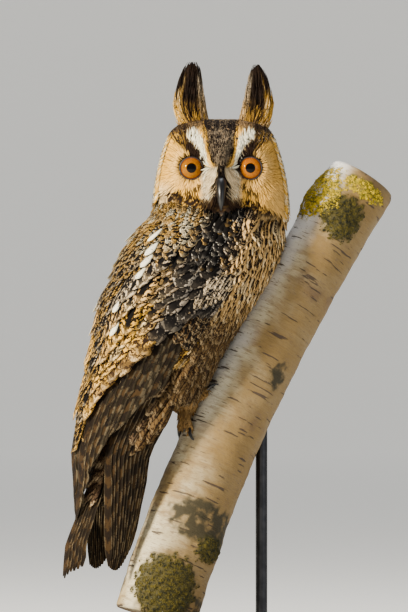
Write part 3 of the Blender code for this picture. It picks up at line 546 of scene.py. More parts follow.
@dataclass
class BodyCoat:
    """The small feathers of crown, nape, mantle, breast, flanks and belly.

    Spans hold, in mm: top and bottom height, pitch of the rows, and length, half width and spacing of the
    feathers. The first span has no top, as it starts at the crown.
    """

    form: Form
    seed: int = 5
    crown_start: float = 8.0 * MM
    spans: tuple = (
        ("plumage_head", None, 350.0, 2.8, 8.5, 1.9, 2.8),
        ("plumage_upper", 354.0, 268.0, 3.8, 14.5, 3.9, 5.2),
        ("plumage_lower", 266.0, 186.0, 4.6, 17.0, 4.6, 6.0),
    )

    def rows(self, first: float, last: float, pitch: float) -> list[float]:
        """Distances down from the crown at which rows of feathers are rooted."""
        found = [first]
        while found[-1] < last:
            found.append(found[-1] + pitch)
        return found

    def livery(self, turn: Array, height: Array, rng: Rng) -> Dress:
        """Colours and marks by place, shared by skin and coat.

        Args:
            turn: Turns round the bird.
            height: Heights in metres.
            rng: Source of the random draws.

        Returns:
            The dress, one row for each place.
        """
        z = height / MM
        side = np.abs(np.degrees(self.form.breast_angle(turn)))
        dice = rng.random(len(turn))
        breast = smooth(98.0, 74.0, side) * smooth(362.0, 346.0, z)
        # The belly mask dyes the belly and flanks below the wing dark brown, with softer marks: painted shade
        # under the folded wing.
        belly = smooth(292.0, 252.0, z) * smooth(112.0, 98.0, side)
        back = smooth(112.0, 135.0, side)
        nape = smooth(108.0, 126.0, side) * smooth(366.0, 352.0, z) * smooth(310.0, 324.0, z)
        group = np.sin(0.17 * z + 2.0 * turn) * np.sin(6.0 * turn - 0.11 * z)
        crown = smooth(364.0, 372.0, z)
        mantle = np.clip(1.0 - breast - 0.8 * back - crown, 0.0, 1.0)
        gold_back = np.clip(0.8 * back * (dice < 0.65) + 0.5 * mantle * (dice > 0.8), 0, 1)
        tint = dye(
            Tone.GREY.linear,
            (0.8 * Tone.ASH.linear, 0.9 * mantle),
            (Tone.GOLD.linear, 0.6 * mantle * (dice > 0.86)),
            (Tone.GOLD.linear, gold_back),
            (Tone.GOLD.linear, 0.7 * nape),
            (Tone.CREAM.linear, 0.8 * nape * (dice < 0.35)),
            (Tone.WHITE.linear, 0.5 * nape * (dice < 0.25)),
            (Tone.BUFF.linear, 0.95 * breast),
            (Tone.CREAM.linear, 0.5 * breast * (dice < 0.3)),
            (0.8 * Tone.BROWN.linear, 0.92 * belly),
            (Tone.TAUPE.linear, 0.7 * crown),
        )
        dark_share = np.clip(0.9 * belly + 0.6 * crown + 0.5 * breast, 0, 1)
        dark = dye(Tone.SOOT.linear, (Tone.UMBER.linear, dark_share))
        streak = 0.95 * mantle + 0.5 * breast + 0.4 * back + 0.15 * crown
        streak += 0.16 * mantle * group + 0.2 * mantle * smooth(340.0, 322.0, z)
        vermic = (0.58 + 0.3 * (dice > 0.75 - 0.2 * group)) * mantle
        vermic = vermic + 0.14 * breast + 0.36 * back + 0.5 * crown
        vermic *= 1.0 - 0.6 * nape
        streak += 0.5 * nape
        streak = streak * (1.0 - belly) + 0.2 * belly
        vermic = vermic * (1.0 - belly) + 0.34 * belly
        pale = 0.15 * mantle + 0.15 * breast + 0.3 * back
        marks = np.stack([streak, vermic, 0.0 * streak, pale], axis=1)
        return Dress(tint, dark, marks).vary(rng, 0.2)

    def grow(self) -> list[Vanes]:
        """Lays the rows of feathers over head and body."""
        rng = np.random.default_rng(self.seed)
        parts = []
        for name, top, bottom, *sizes in self.spans:
            vanes = Vanes(self.form, name)
            first = self.crown_start if top is None else float(self.form.down_at(top * MM))
            pitch, length, half, spacing = (size * MM for size in sizes)
            for number, down in enumerate(self.rows(first, float(self.form.down_at(bottom * MM)), pitch)):
                self.lay_row(vanes, number, down, length, half, spacing, rng)
            parts.append(vanes)
        return parts

    def lay_row(self, vanes: Vanes, number: int, down: float, length: float, half: float,
                spacing: float, rng: Rng) -> None:
        """Lays one row round the bird, staggered against the row above."""
        form = self.form
        ring = form.plumage(np.linspace(0.0, TAU, 60), np.full(60, down), np.zeros(60))
        around = float(np.sum(np.linalg.norm(np.diff(ring, axis=0), axis=1)))
        count = max(6, int(around / spacing))
        turn = (np.arange(count) + 0.5 * (number % 2) + rng.uniform(-0.3, 0.3, count)) * TAU / count
        turn = wrapped(turn)
        start = down + rng.uniform(-0.3, 0.3, count) * spacing
        keep = self.covers(turn, start)
        turn, start = turn[keep], start[keep]
        count = len(turn)
        if not count:
            return
        stations = 6
        s = np.linspace(0.0, 1.0, stations)
        size = length * rng.uniform(0.85, 1.15, (count, 1))
        sway = rng.uniform(-0.22, 0.22, (count, 1)) + self.drift(turn, start)[:, None]
        reach = s[None] * size
        a = turn[:, None] + np.sin(sway) * reach / (around / TAU)
        b = start[:, None] + np.cos(sway) * reach
        lift = self.loft(turn, start)[:, None] + (-1.6 + 2.4 * s[None] ** 0.8) * MM
        lift = lift + rng.uniform(-0.5, 0.7, (count, 1)) * MM * s[None]
        halves = half * feather_profile("round", stations)[None] * rng.uniform(0.85, 1.15, (count, 1))
        height = form.height_at(start + size[:, 0] * 0.6)
        dress = self.livery(turn, height, rng)
        vanes.lay(form.plumage, a, b, lift, halves, dress, lean=rng.uniform(-0.2, 0.2, count))

    def drift(self, turn: Array, down: Array) -> Array:
        """How far the feathers lie off the straight way down, in radians."""
        side = self.form.breast_angle(turn)
        low = smooth(330 * MM, 300 * MM, self.form.height_at(down))
        return 0.45 * np.sign(side) * hump(np.abs(side), 1.9, 0.7) * low

    def loft(self, turn: Array, down: Array) -> Array:
        """Lift of the coat's surface, sunk where the wings and the face lie over it."""
        angle = np.abs(np.degrees(self.form.breast_angle(turn)))
        low = smooth(318 * MM, 304 * MM, self.form.height_at(down))
        return -(0.8 + 4.0 * smooth(72.0, 84.0, angle) * smooth(172.0, 166.0, angle) * low) * MM

    def covers(self, turn: Array, down: Array) -> Array:
        """Where this coat grows: not on the face, not under the folded wings and not below the vent."""
        form = self.form
        z = form.height_at(down) / MM
        angle = np.abs(np.degrees(form.breast_angle(turn)))
        x = -np.copysign(np.abs(np.sin(turn)) ** form.side_power, turn) * 50.0
        chin = form.eye_height / MM + FaceCoat(form).floor_at(x)
        face = (np.abs(turn) < 1.28) & (z > chin - 1.0) & (z < 408.0)
        hidden = (angle > 92.0) & (angle < 160.0) & (z < 296.0)
        belly = (z < 215.0) & (angle < 70.0)
        return ~(face | hidden | belly)


def near_line(x: Array, z: Array, line: Sequence[Sequence[float]]) -> Array:
    """How well points lie on a stroke that is drawn along a few points, each with its half width.

    Args:
        x: Distances across.
        z: Distances up.
        line: Points of the stroke, as x, z and half width.

    Returns:
        1 on the stroke, 0 away from it.
    """
    best = np.zeros(len(x))
    for (x0, z0, w0), (x1, z1, w1) in zip(line, line[1:]):
        share = ((x - x0) * (x1 - x0) + (z - z0) * (z1 - z0)) / ((x1 - x0) ** 2 + (z1 - z0) ** 2)
        share = np.clip(share, 0.0, 1.0)
        far = np.hypot(x - x0 - share * (x1 - x0), z - z0 - share * (z1 - z0))
        best = np.maximum(best, smooth(1.2, 0.8, far / (w0 + (w1 - w0) * share)))
    return best


@dataclass
class FaceCoat:
    """The facial disc: fine feathers that ray out from each eye, brows, lores, crown wedge and rim.

    Places on the face are in mm, across from its middle and up from the eyes.
    """

    form: Form
    seed: int = 9
    spacing: float = 1.08
    brow: tuple = (
        (8.0, -17.0, 3.4), (10.5, -7.0, 3.2), (11.6, 3.0, 2.0), (13.4, 11.0, 2.2), (16.6, 18.5, 3.6),
        (21.5, 24.0, 4.4),
    )
    shade: tuple = (
        (15.0, 8.0, 1.9), (19.0, 12.5, 3.2), (25.0, 16.5, 4.4), (30.5, 22.0, 5.6), (32.0, 29.0, 7.0),
    )
    under: tuple = ((16.0, -13.0, 1.6), (22.0, -17.0, 2.6), (27.0, -20.0, 2.0))
    wedge: tuple = ((-4.0, 0.8), (0.0, 3.4), (6.0, 7.8), (12.0, 9.8), (28.0, 11.2), (37.0, 12.6))
    floor: tuple = (
        (-50.0, -21.0), (-32.0, -21.0), (-14.0, -26.0), (0.0, -33.0), (10.0, -28.0), (20.0, -25.0),
        (30.0, -31.0), (40.0, -37.0), (50.0, -38.0),
    )

    def wedge_half(self, z: Array) -> Array:
        """Half width of the mottled wedge between the brows."""
        heights, halves = zip(*self.wedge)
        return np.interp(z, heights, halves)

    def floor_at(self, x: Array) -> Array:
        """Lower edge of the disc, where the throat and the nape lie over it."""
        across, heights = zip(*self.floor)
        return np.interp(x, across, heights)

    def livery(self, x: Array, z: Array, rng: Rng) -> Dress:
        """Colours and marks of the face by place.

        Args:
            x: Places across, in mm.
            z: Places up from the eyes, in mm.
            rng: Source of the random draws.

        Returns:
            The dress, one row for each place.
        """
        ax = np.abs(x)
        far = np.hypot(ax - EYE_ACROSS, z)
        dice = rng.random(len(x))
        # The lower outer disc is cream, laid mostly on the left of the picture: its fading on the right is
        # painted shade of the side turned from the light.
        pale = 0.65 * smooth(-4.0, -18.0, z) * smooth(30.0, 42.0, ax) * (1.0 - 0.75 * smooth(-6.0, 6.0, x))
        brow = near_line(ax, z, self.brow)
        lores = smooth(17.0, 12.0, ax) * smooth(2.0, -4.0, z) * smooth(-30.0, -22.0, z)
        white = np.clip(brow + lores * 0.7, 0.0, 1.0)
        cap = smooth(25.0, 30.0, z + 0.12 * (ax - 18.0)) * smooth(46.0, 40.0, ax)
        edge = hump(ax, self.wedge_half(z) + 0.2, 1.3) * smooth(-2.0, 5.0, z)
        wedge = smooth(0.8, -0.8, ax - self.wedge_half(z)) * smooth(-4.0, -1.0, z)
        throat = smooth(19.0, 13.0, ax) * smooth(-19.0, -24.0, z)
        soot = np.maximum(near_line(ax, z, self.shade), 0.9 * near_line(ax, z, self.under) * (dice < 0.75))
        chin = smooth(6.5, 3.0, z - self.floor_at(x)) * smooth(46.0, 40.0, ax) * (dice < 0.7)
        # A dark ring round each eye, widened over the eye's top: the ring is the owl's own, the widening is
        # painted shade under the brow.
        ring = smooth(10.8, 9.2, far - 1.6 * smooth(1.0, 6.0, z)) * smooth(-9.0, 2.0, z + 0.2 * (30.0 - ax))
        gape = smooth(7.5, 4.5, ax + 0.25 * (z + 18.0)) * smooth(-2.0, -8.0, z) * (dice < 0.75)
        gape = np.maximum(gape, smooth(15.0, 10.0, ax) * smooth(-22.0, -27.0, z) * (dice < 0.7))
        soot = np.clip(np.maximum.reduce([soot * (1.0 - 0.9 * brow), chin, ring, gape]), 0.0, 1.0)
        soft = 1.0 - 0.55 * smooth(24.0, 34.0, ax) * smooth(6.0, 14.0, z) * (dice > 0.45)
        tint = dye(
            Tone.DISC.linear,
            (Tone.CREAM.linear, pale),
            (Tone.GOLD.linear, 0.5 * hump(z, 6.0, 14.0) * smooth(33.0, 42.0, ax)),
            (Tone.CREAM.linear, 0.15 * hump(far, 13.0, 4.0)),
            # Taupe over the right of the picture: painted shade of the side of the face turned from the
            # light.
            (Tone.TAUPE.linear, 0.35 * smooth(14.0, 34.0, x)),
            (Tone.WHITE.linear, white),
            (Tone.BUFF.linear, 0.5 * lores * (dice > 0.4)),
            (Tone.TAUPE.linear, 0.6 * lores * dice),
            (Tone.TAUPE.linear, 0.9 * cap * (1.0 - 0.8 * brow)),
            (Tone.BROWN.linear, 0.6 * cap * smooth(18.0, 28.0, ax)),
            (0.5 * Tone.GREY.linear + 0.2 * Tone.TAUPE.linear, wedge),
            (Tone.GOLD.linear, 0.8 * edge),
            (0.6 * Tone.BROWN.linear, 0.97 * throat),
            (Tone.UMBER.linear, soot * soft),
        )
        dark = dye(Tone.UMBER.linear, (Tone.SOOT.linear, 0.6 * wedge))
        streak = 0.3 * lores * (dice > 0.66)
        vermic = 0.57 * wedge + 0.05 * (1.0 - white) + 0.2 * edge + 0.4 * cap * (1.0 - brow)
        vermic = np.clip(vermic, 0.0, 1.0)
        marks = np.stack([streak, vermic, 0.0 * ax, 0.0 * ax], axis=1)
        return Dress(tint, dark, marks).vary(rng, 0.07)

    def grow(self) -> list[Vanes]:
        """Lays the disc of each eye, the wedge of the forehead, the bristles and the rim."""
        rng = np.random.default_rng(self.seed)
        disc, rim = Vanes(self.form, "plumage_face"), Vanes(self.form, "plumage_rim")
        across = np.arange(-49.0, 49.0, self.spacing)
        upward = np.arange(-40.0, 37.0, self.spacing)
        x, z = (part.reshape(-1) for part in np.meshgrid(across, upward))
        x = x + rng.uniform(-0.5, 0.5, len(x)) * self.spacing
        z = z + rng.uniform(-0.5, 0.5, len(z)) * self.spacing
        self.lay_disc(disc, x, z, rng)
        self.lay_bristles(rim, rng)
        self.lay_rim(rim, rng)
        return [disc, rim]

    def surface(self, a: Array, b: Array, lift: Array) -> Array:
        """The face by place across and up."""
        return self.form.face_point(a * MM, self.form.eye_height + b * MM, lift)

    def lay_disc(self, vanes: Vanes, x: Array, z: Array, rng: Rng) -> None:
        """Lays fine feathers at given places, each pointing the way the face's feathers lie there."""
        ax, side = np.abs(x), np.where(x < 0, -1.0, 1.0)
        far = np.hypot(ax - EYE_ACROSS, z)
        wedge = (ax < self.wedge_half(z) + 0.5) & (z > -4.0)
        length = np.where(wedge, 4.2, 4.5 + 0.27 * np.clip(far - 8.0, 0.0, 24.0))
        keep = ((far > 8.8) & (z > self.floor_at(x) + 0.62 * length) & ((ax > 3.2) | (z > -2.0))
                & (ax < np.interp(z, (-38, 0, 20, 30, 37), (48, 47.5, 44, 37, 26))))
        keep &= rng.random(len(x)) < np.where(wedge, 0.75, 1.0)
        x, z, ax, side, far, wedge, length = (part[keep] for part in (x, z, ax, side, far, wedge, length))
        count = len(x)
        radial = np.stack([(ax - EYE_ACROSS) / far, z / far], axis=1)
        inner = smooth(18.0, 12.0, ax)[:, None]
        upper = smooth(-3.0, 3.0, z)[:, None]
        sweep = unit(np.stack([0.35 + 0.0 * ax, 1.0 + 0.0 * ax], axis=1)) * upper
        sweep = sweep + unit(np.stack([0.42 + 0.0 * ax, -1.0 + 0.0 * ax], axis=1)) * (1.0 - upper)
        way = unit(radial * (1.0 - inner) + sweep * inner)
        straight = np.stack([0.03 * ax, np.ones(count)], axis=1)
        way = unit(np.where(wedge[:, None], straight, way) + rng.normal(0.0, 0.08, (count, 2)))
        stations = 5
        s = shaft(stations)
        reach = s * (length * rng.uniform(0.8, 1.2, count))[:, None]
        bend = rng.uniform(-0.12, 0.12, (count, 1)) * s
        a = side[:, None] * (ax[:, None] + way[:, :1] * reach - way[:, 1:] * reach * bend)
        b = z[:, None] + way[:, 1:] * reach + way[:, :1] * reach * bend
        a = np.where(side[:, None] > 0, np.maximum(a, 0.3), np.minimum(a, -0.3))
        b = np.minimum(b, 37.2)
        puff = 0.9 * near_line(ax, z, self.brow) * (z > 2.0)
        lift = (-0.6 + (0.9 + puff)[:, None] * s + rng.uniform(-0.08, 0.1, (count, 1)) * s) * MM
        wide = np.where(wedge, 0.85, np.interp(far, (9.0, 30.0), (0.66, 0.6)))
        profile = feather_profile("hair", stations)[None]
        halves = wide[:, None] * MM * profile * rng.uniform(0.8, 1.25, (count, 1))
        dress = self.livery(a[:, 2], b[:, 2], rng)
        vanes.lay(self.surface, a, b, lift, halves, dress, 0.15 * MM, 0.3)

    def lay_bristles(self, vanes: Vanes, rng: Rng) -> None:
        """Lays the long bristles that sweep down from between the eyes and hide the root of the bill."""
        for side in (-1.0, 1.0):
            for count, inner, spread, top, drop, tone, other in (
                (330, 2.6, 5.2, 1.5, 16.0, Tone.CREAM, Tone.TAUPE),
                (150, 0.4, 3.2, 2.5, 19.0, Tone.SOOT, Tone.UMBER),
            ):
                start = rng.uniform(0.0, 1.0, count)
                z0 = top - drop * rng.random(count) ** 0.8
                narrow = 1.0 if inner > 1.0 else smooth(3.0, -12.0, z0)
                x0 = inner + (spread * start + rng.uniform(-0.4, 0.4, count)) * narrow
                stations = 7
                s = shaft(stations)
                size = rng.uniform(5.0, 9.5, (count, 1))
                fan = 0.06 + 0.5 * start * narrow + rng.normal(0.0, 0.08, count)
                fan = np.clip(fan, 0.02, 0.8)[:, None]
                a = side * (x0[:, None] + np.sin(fan) * s * size + 0.08 * (s * size) ** 2 * 0.35)
                b = np.maximum(z0[:, None] - np.cos(fan) * s * size, -31.0)
                lift = (-0.4 + 2.9 * np.sin(s * 1.9) * np.exp(-0.16 * x0[:, None])) * MM
                halves = 0.36 * MM * feather_profile("hair", stations)[None]
                halves = halves * rng.uniform(0.8, 1.2, (count, 1))
                dress = Dress.plain(count, tone, Tone.UMBER, (0.0, 0.08, 0.0, 0.0))
                dress.dye((other.linear, 0.7 * rng.random(count)))
                vanes.lay(self.surface, a, b, lift, halves, dress.vary(rng, 0.08), 0.15 * MM, 0.3)

    def lay_rim(self, vanes: Vanes, rng: Rng) -> None:
        """Lays the stiff short feathers, dark and white by turns, that edge the disc on either side."""
        for lane, (offset, tone, dark) in enumerate((
            (-0.5, Tone.GOLD, Tone.UMBER), (1.6, Tone.SOOT, Tone.SOOT), (3.6, Tone.WHITE, Tone.SOOT),
            (5.6, Tone.SOOT, Tone.SOOT), (7.6, Tone.BUFF, Tone.SOOT),
        )):
            for side in (-1, 1):
                count = 88
                share = (np.arange(count) + rng.uniform(-0.4, 0.4, count)) / count
                low = -22.0 if side == -1 else -37.0
                z = low + (26.0 - low) * share
                turn = -side * (1.13 + 0.05 * np.sin(share * math.pi) + offset * 0.024)
                height = self.form.eye_height + z * MM
                stations = 5
                s = np.linspace(0.0, 1.0, stations)
                size = 6.5 * MM * rng.uniform(0.8, 1.2, (count, 1))
                a = turn[:, None] - side * s[None] * size * 0.75 / (50 * MM)
                b = self.form.down_at(height)[:, None] + s[None] * size * 0.6
                lift = (0.3 - 0.2 * lane + s[None]) * MM
                halves = 1.05 * MM * feather_profile("round", stations)[None]
                halves = halves * rng.uniform(0.8, 1.2, (count, 1))
                marks = (0.3 if lane == 4 else 0.0, 0.25 if tone is not Tone.SOOT else 0.0, 0.0, 0.0)
                dress = Dress.plain(count, tone, dark, marks)
                dress.dye((Tone.CREAM.linear, 0.8 * (rng.random(count) < 0.3)))
                vanes.lay(self.form.plumage, a, b, lift, halves, dress.vary(rng, 0.2), 0.15 * MM, 0.3)


@dataclass
class EarTuft:
    """One ear tuft: a leaf-shaped fan of long feathers, fluffed at its edges.

    Its rows hold height, distance out from the head's middle, half width and place backwards, in mm, for the
    right tuft and then for the left one. Layers hold depth in mm, reach as a share and number of feathers.
    """

    form: Form
    side: int
    seed: int = 21
    rows: tuple = (
        (
            (402.0, 18.0, 7.5, -6.0), (412.0, 18.8, 9.6, -6.5), (421.0, 22.4, 11.2, -6.0),
            (430.0, 24.2, 11.2, -4.5), (440.0, 24.0, 9.6, -2.5), (450.0, 23.0, 7.6, -0.5),
            (457.0, 22.2, 5.8, 1.0), (462.5, 21.6, 3.2, 2.0),
        ),
        (
            (402.0, 21.0, 7.5, -6.0), (412.0, 23.6, 9.8, -6.5), (421.0, 26.6, 11.0, -6.0),
            (430.0, 28.4, 10.6, -4.5), (440.0, 28.8, 8.8, -2.5), (450.0, 28.2, 6.6, -0.5),
            (456.0, 27.6, 4.6, 1.0), (460.5, 27.2, 2.2, 2.0),
        ),
    )
    layers: tuple = ((-3.4, 0.97, 19), (-2.4, 1.0, 19), (-1.2, 0.97, 18), (-0.2, 0.93, 18), (0.8, 0.82, 17),
                     (1.8, 0.68, 17), (2.8, 0.52, 16), (3.7, 0.36, 15), (4.4, 0.24, 14))

    def surface(self, a: Array, b: Array, lift: Array) -> Array:
        """The tuft's fan, by place across from -1 to 1, place along from 0 to 1 and lift to the front."""
        table = np.array(self.rows[0 if self.side == 1 else 1])
        height = table[0, 0] + (table[-1, 0] - table[0, 0]) * b
        out, spread, back = sections(table, height)
        x = self.form.head_axis[0] - self.side * (out + a * spread) * MM
        y = self.form.head_axis[1] + (back + 3.0 * a * a) * MM - lift
        return np.stack([x, y, height * MM], axis=-1)

    def grow(self) -> Vanes:
        """Lays sheets of feathers from back to front, then the fluff along the edges."""
        rng = np.random.default_rng(self.seed + self.side)
        vanes = Vanes(self.form, "tuft_" + word_of(self.side))
        for depth, reach, count in self.layers:
            place = np.linspace(-1.0, 1.0, count) + rng.uniform(-0.09, 0.09, count)
            end = np.interp(place, (-1.0, -0.5, 0.0, 0.3, 0.5, 1.0), (0.8, 0.96, 1.0, 0.98, 0.78, 0.62))
            end = reach * end * rng.uniform(0.9, 1.02, count)
            self.lay_sheet(vanes, place, 0.0 * place, np.minimum(end, 1.0), depth, 1.2, "long", rng)
        for depth in (-2.6, -1.4, -0.2, 0.8):
            place = np.linspace(-0.86, 0.86, 12) + rng.uniform(-0.06, 0.06, 12)
            end = (1.0 - 0.1 * place**2) * rng.uniform(0.95, 1.0, 12)
            self.lay_sheet(vanes, place, 0.0 * place + 0.5, end, depth, 1.3, "round", rng)
        place = rng.uniform(-0.75, 0.75, 300)
        start = rng.uniform(0.0, 0.82, 300)
        end = np.minimum(start + rng.uniform(0.12, 0.24, 300), 1.0)
        self.lay_sheet(vanes, place, start, end, (5.0 - 4.2 * start)[:, None], 0.5, "hair", rng)
        place = rng.uniform(-1.3, 1.3, 170)
        start = rng.uniform(0.05, 0.17, 170)
        end = start + rng.uniform(0.07, 0.15, 170)
        self.lay_sheet(vanes, place, start, end, rng.uniform(0.0, 6.5, (170, 1)), 0.5, "base", rng)
        place = np.where(rng.random(170) < 0.5, -1.0, 1.0) * rng.uniform(0.7, 1.06, 170)
        start = rng.uniform(0.0, 0.8, 170)
        end = np.minimum(start + rng.uniform(0.12, 0.26, 170), 1.0)
        self.lay_sheet(vanes, place, start, end, rng.uniform(-2.0, 3.0, (170, 1)), 0.55, "hair", rng)
        return vanes

    def lay_sheet(self, vanes: Vanes, place: Array, start: Array, end: Array, depth: Value,
                  half: float, kind: str, rng: Rng) -> None:
        """Lays one batch of the tuft's feathers.

        Args:
            vanes: Where the feathers go.
            place: Place of each across, from -1 to 1.
            start: Share of the tuft's length at which it starts.
            end: Share at which it ends.
            depth: Height over the tuft's middle sheet, in mm.
            half: Half width in mm.
            kind: Profile of the feathers.
            rng: Source of the random draws.
        """
        count, stations = len(place), 9 if kind == "long" else 5
        s = shaft(stations)
        b = start[:, None] + s * (end - start)[:, None]
        flare = 0.12 * np.sign(place)[:, None] * s if kind == "hair" else 0.0
        fan = 1.0 + 1.1 * s * smooth(0.7, 0.4, np.abs(place))[:, None] if kind == "long" else 1.0
        a = place[:, None] * np.ones_like(s) * fan + flare
        lift = (depth + 0.7 * s - 1.1 * place[:, None] * self.side * 0.3) * MM * np.ones((count, 1))
        halves = half * MM * feather_profile(kind, stations)[None] * rng.uniform(0.8, 1.15, (count, 1))
        outer = smooth(0.35, 0.6, place)
        inner = smooth(-0.5, -0.8, place)
        if kind == "round":
            outer, inner = 0.0 * outer, 0.5 * inner
        low = 1.0 - smooth(0.45, 0.8, end)
        root = smooth(0.62, 0.22, end) * (1.0 - outer) * (1.0 - inner)
        tint = dye(
            Tone.UMBER.linear,
            (Tone.SOOT.linear, 0.6 * rng.random(count)),
            (Tone.GOLD.linear, 0.95 * outer),
            (Tone.CREAM.linear, 0.5 * outer * (rng.random(count) < 0.4)),
            (Tone.GREY.linear, 0.9 * inner),
            (Tone.BUFF.linear, 0.7 * inner * low),
            (Tone.BROWN.linear, 0.9 * root),
            (Tone.GOLD.linear, 0.7 * root * (rng.random(count) < 0.45)),
        )
        if kind == "base":
            tint = dye(tint, (Tone.TAUPE.linear, 0.9 * rng.random(count)))
        if kind == "hair":
            tips = smooth(0.55, 0.75, end) * outer, smooth(0.85, 0.95, end)
            tint = dye(tint, *((Tone.UMBER.linear, share) for share in tips))
        marks = np.stack([0.1 + 0.1 * outer, 0.25 + 0.15 * inner, 0.0 * outer, 0.0 * outer], axis=1)
        dress = Dress(tint, np.tile(Tone.SOOT.linear, (count, 1)), marks).vary(rng, 0.2)
        vanes.lay(self.surface, a, b, lift, halves, dress, 0.25 * MM, 0.3, 5 if kind == "long" else 3)


def row_fall(angle: Value) -> Value:
    """How far a row of wing feathers has fallen, in mm, where it reaches an angle in degrees."""
    past = angle - 104.0
    return 0.65 * (past + np.sqrt(past * past + 150.0)) - 20.0


@dataclass(frozen=True)
class FeatherRow:
    """A row of wing feathers. Angles are in degrees, levels and lifts in mm, half width in spacings."""

    count: int
    roots: tuple[float, float]
    tips: tuple[float, float]
    levels: tuple[float, float]
    lifts: tuple
    tones: tuple[Tone, Tone]
    marks: tuple[float, float, float, float]
    lap: float = 1.3
    half: float = 0.95
    kind: str = "round"


COVERT_LIFTS = ((0.0, -4.4), (12.0, -2.6), (32.0, 0.7))
# Share of their tint that flight and tail feathers keep: painted shade, as the folded flights and the tail
# hang in shadow.
LONG_FEATHER_PAINTED_SHADE = 0.44


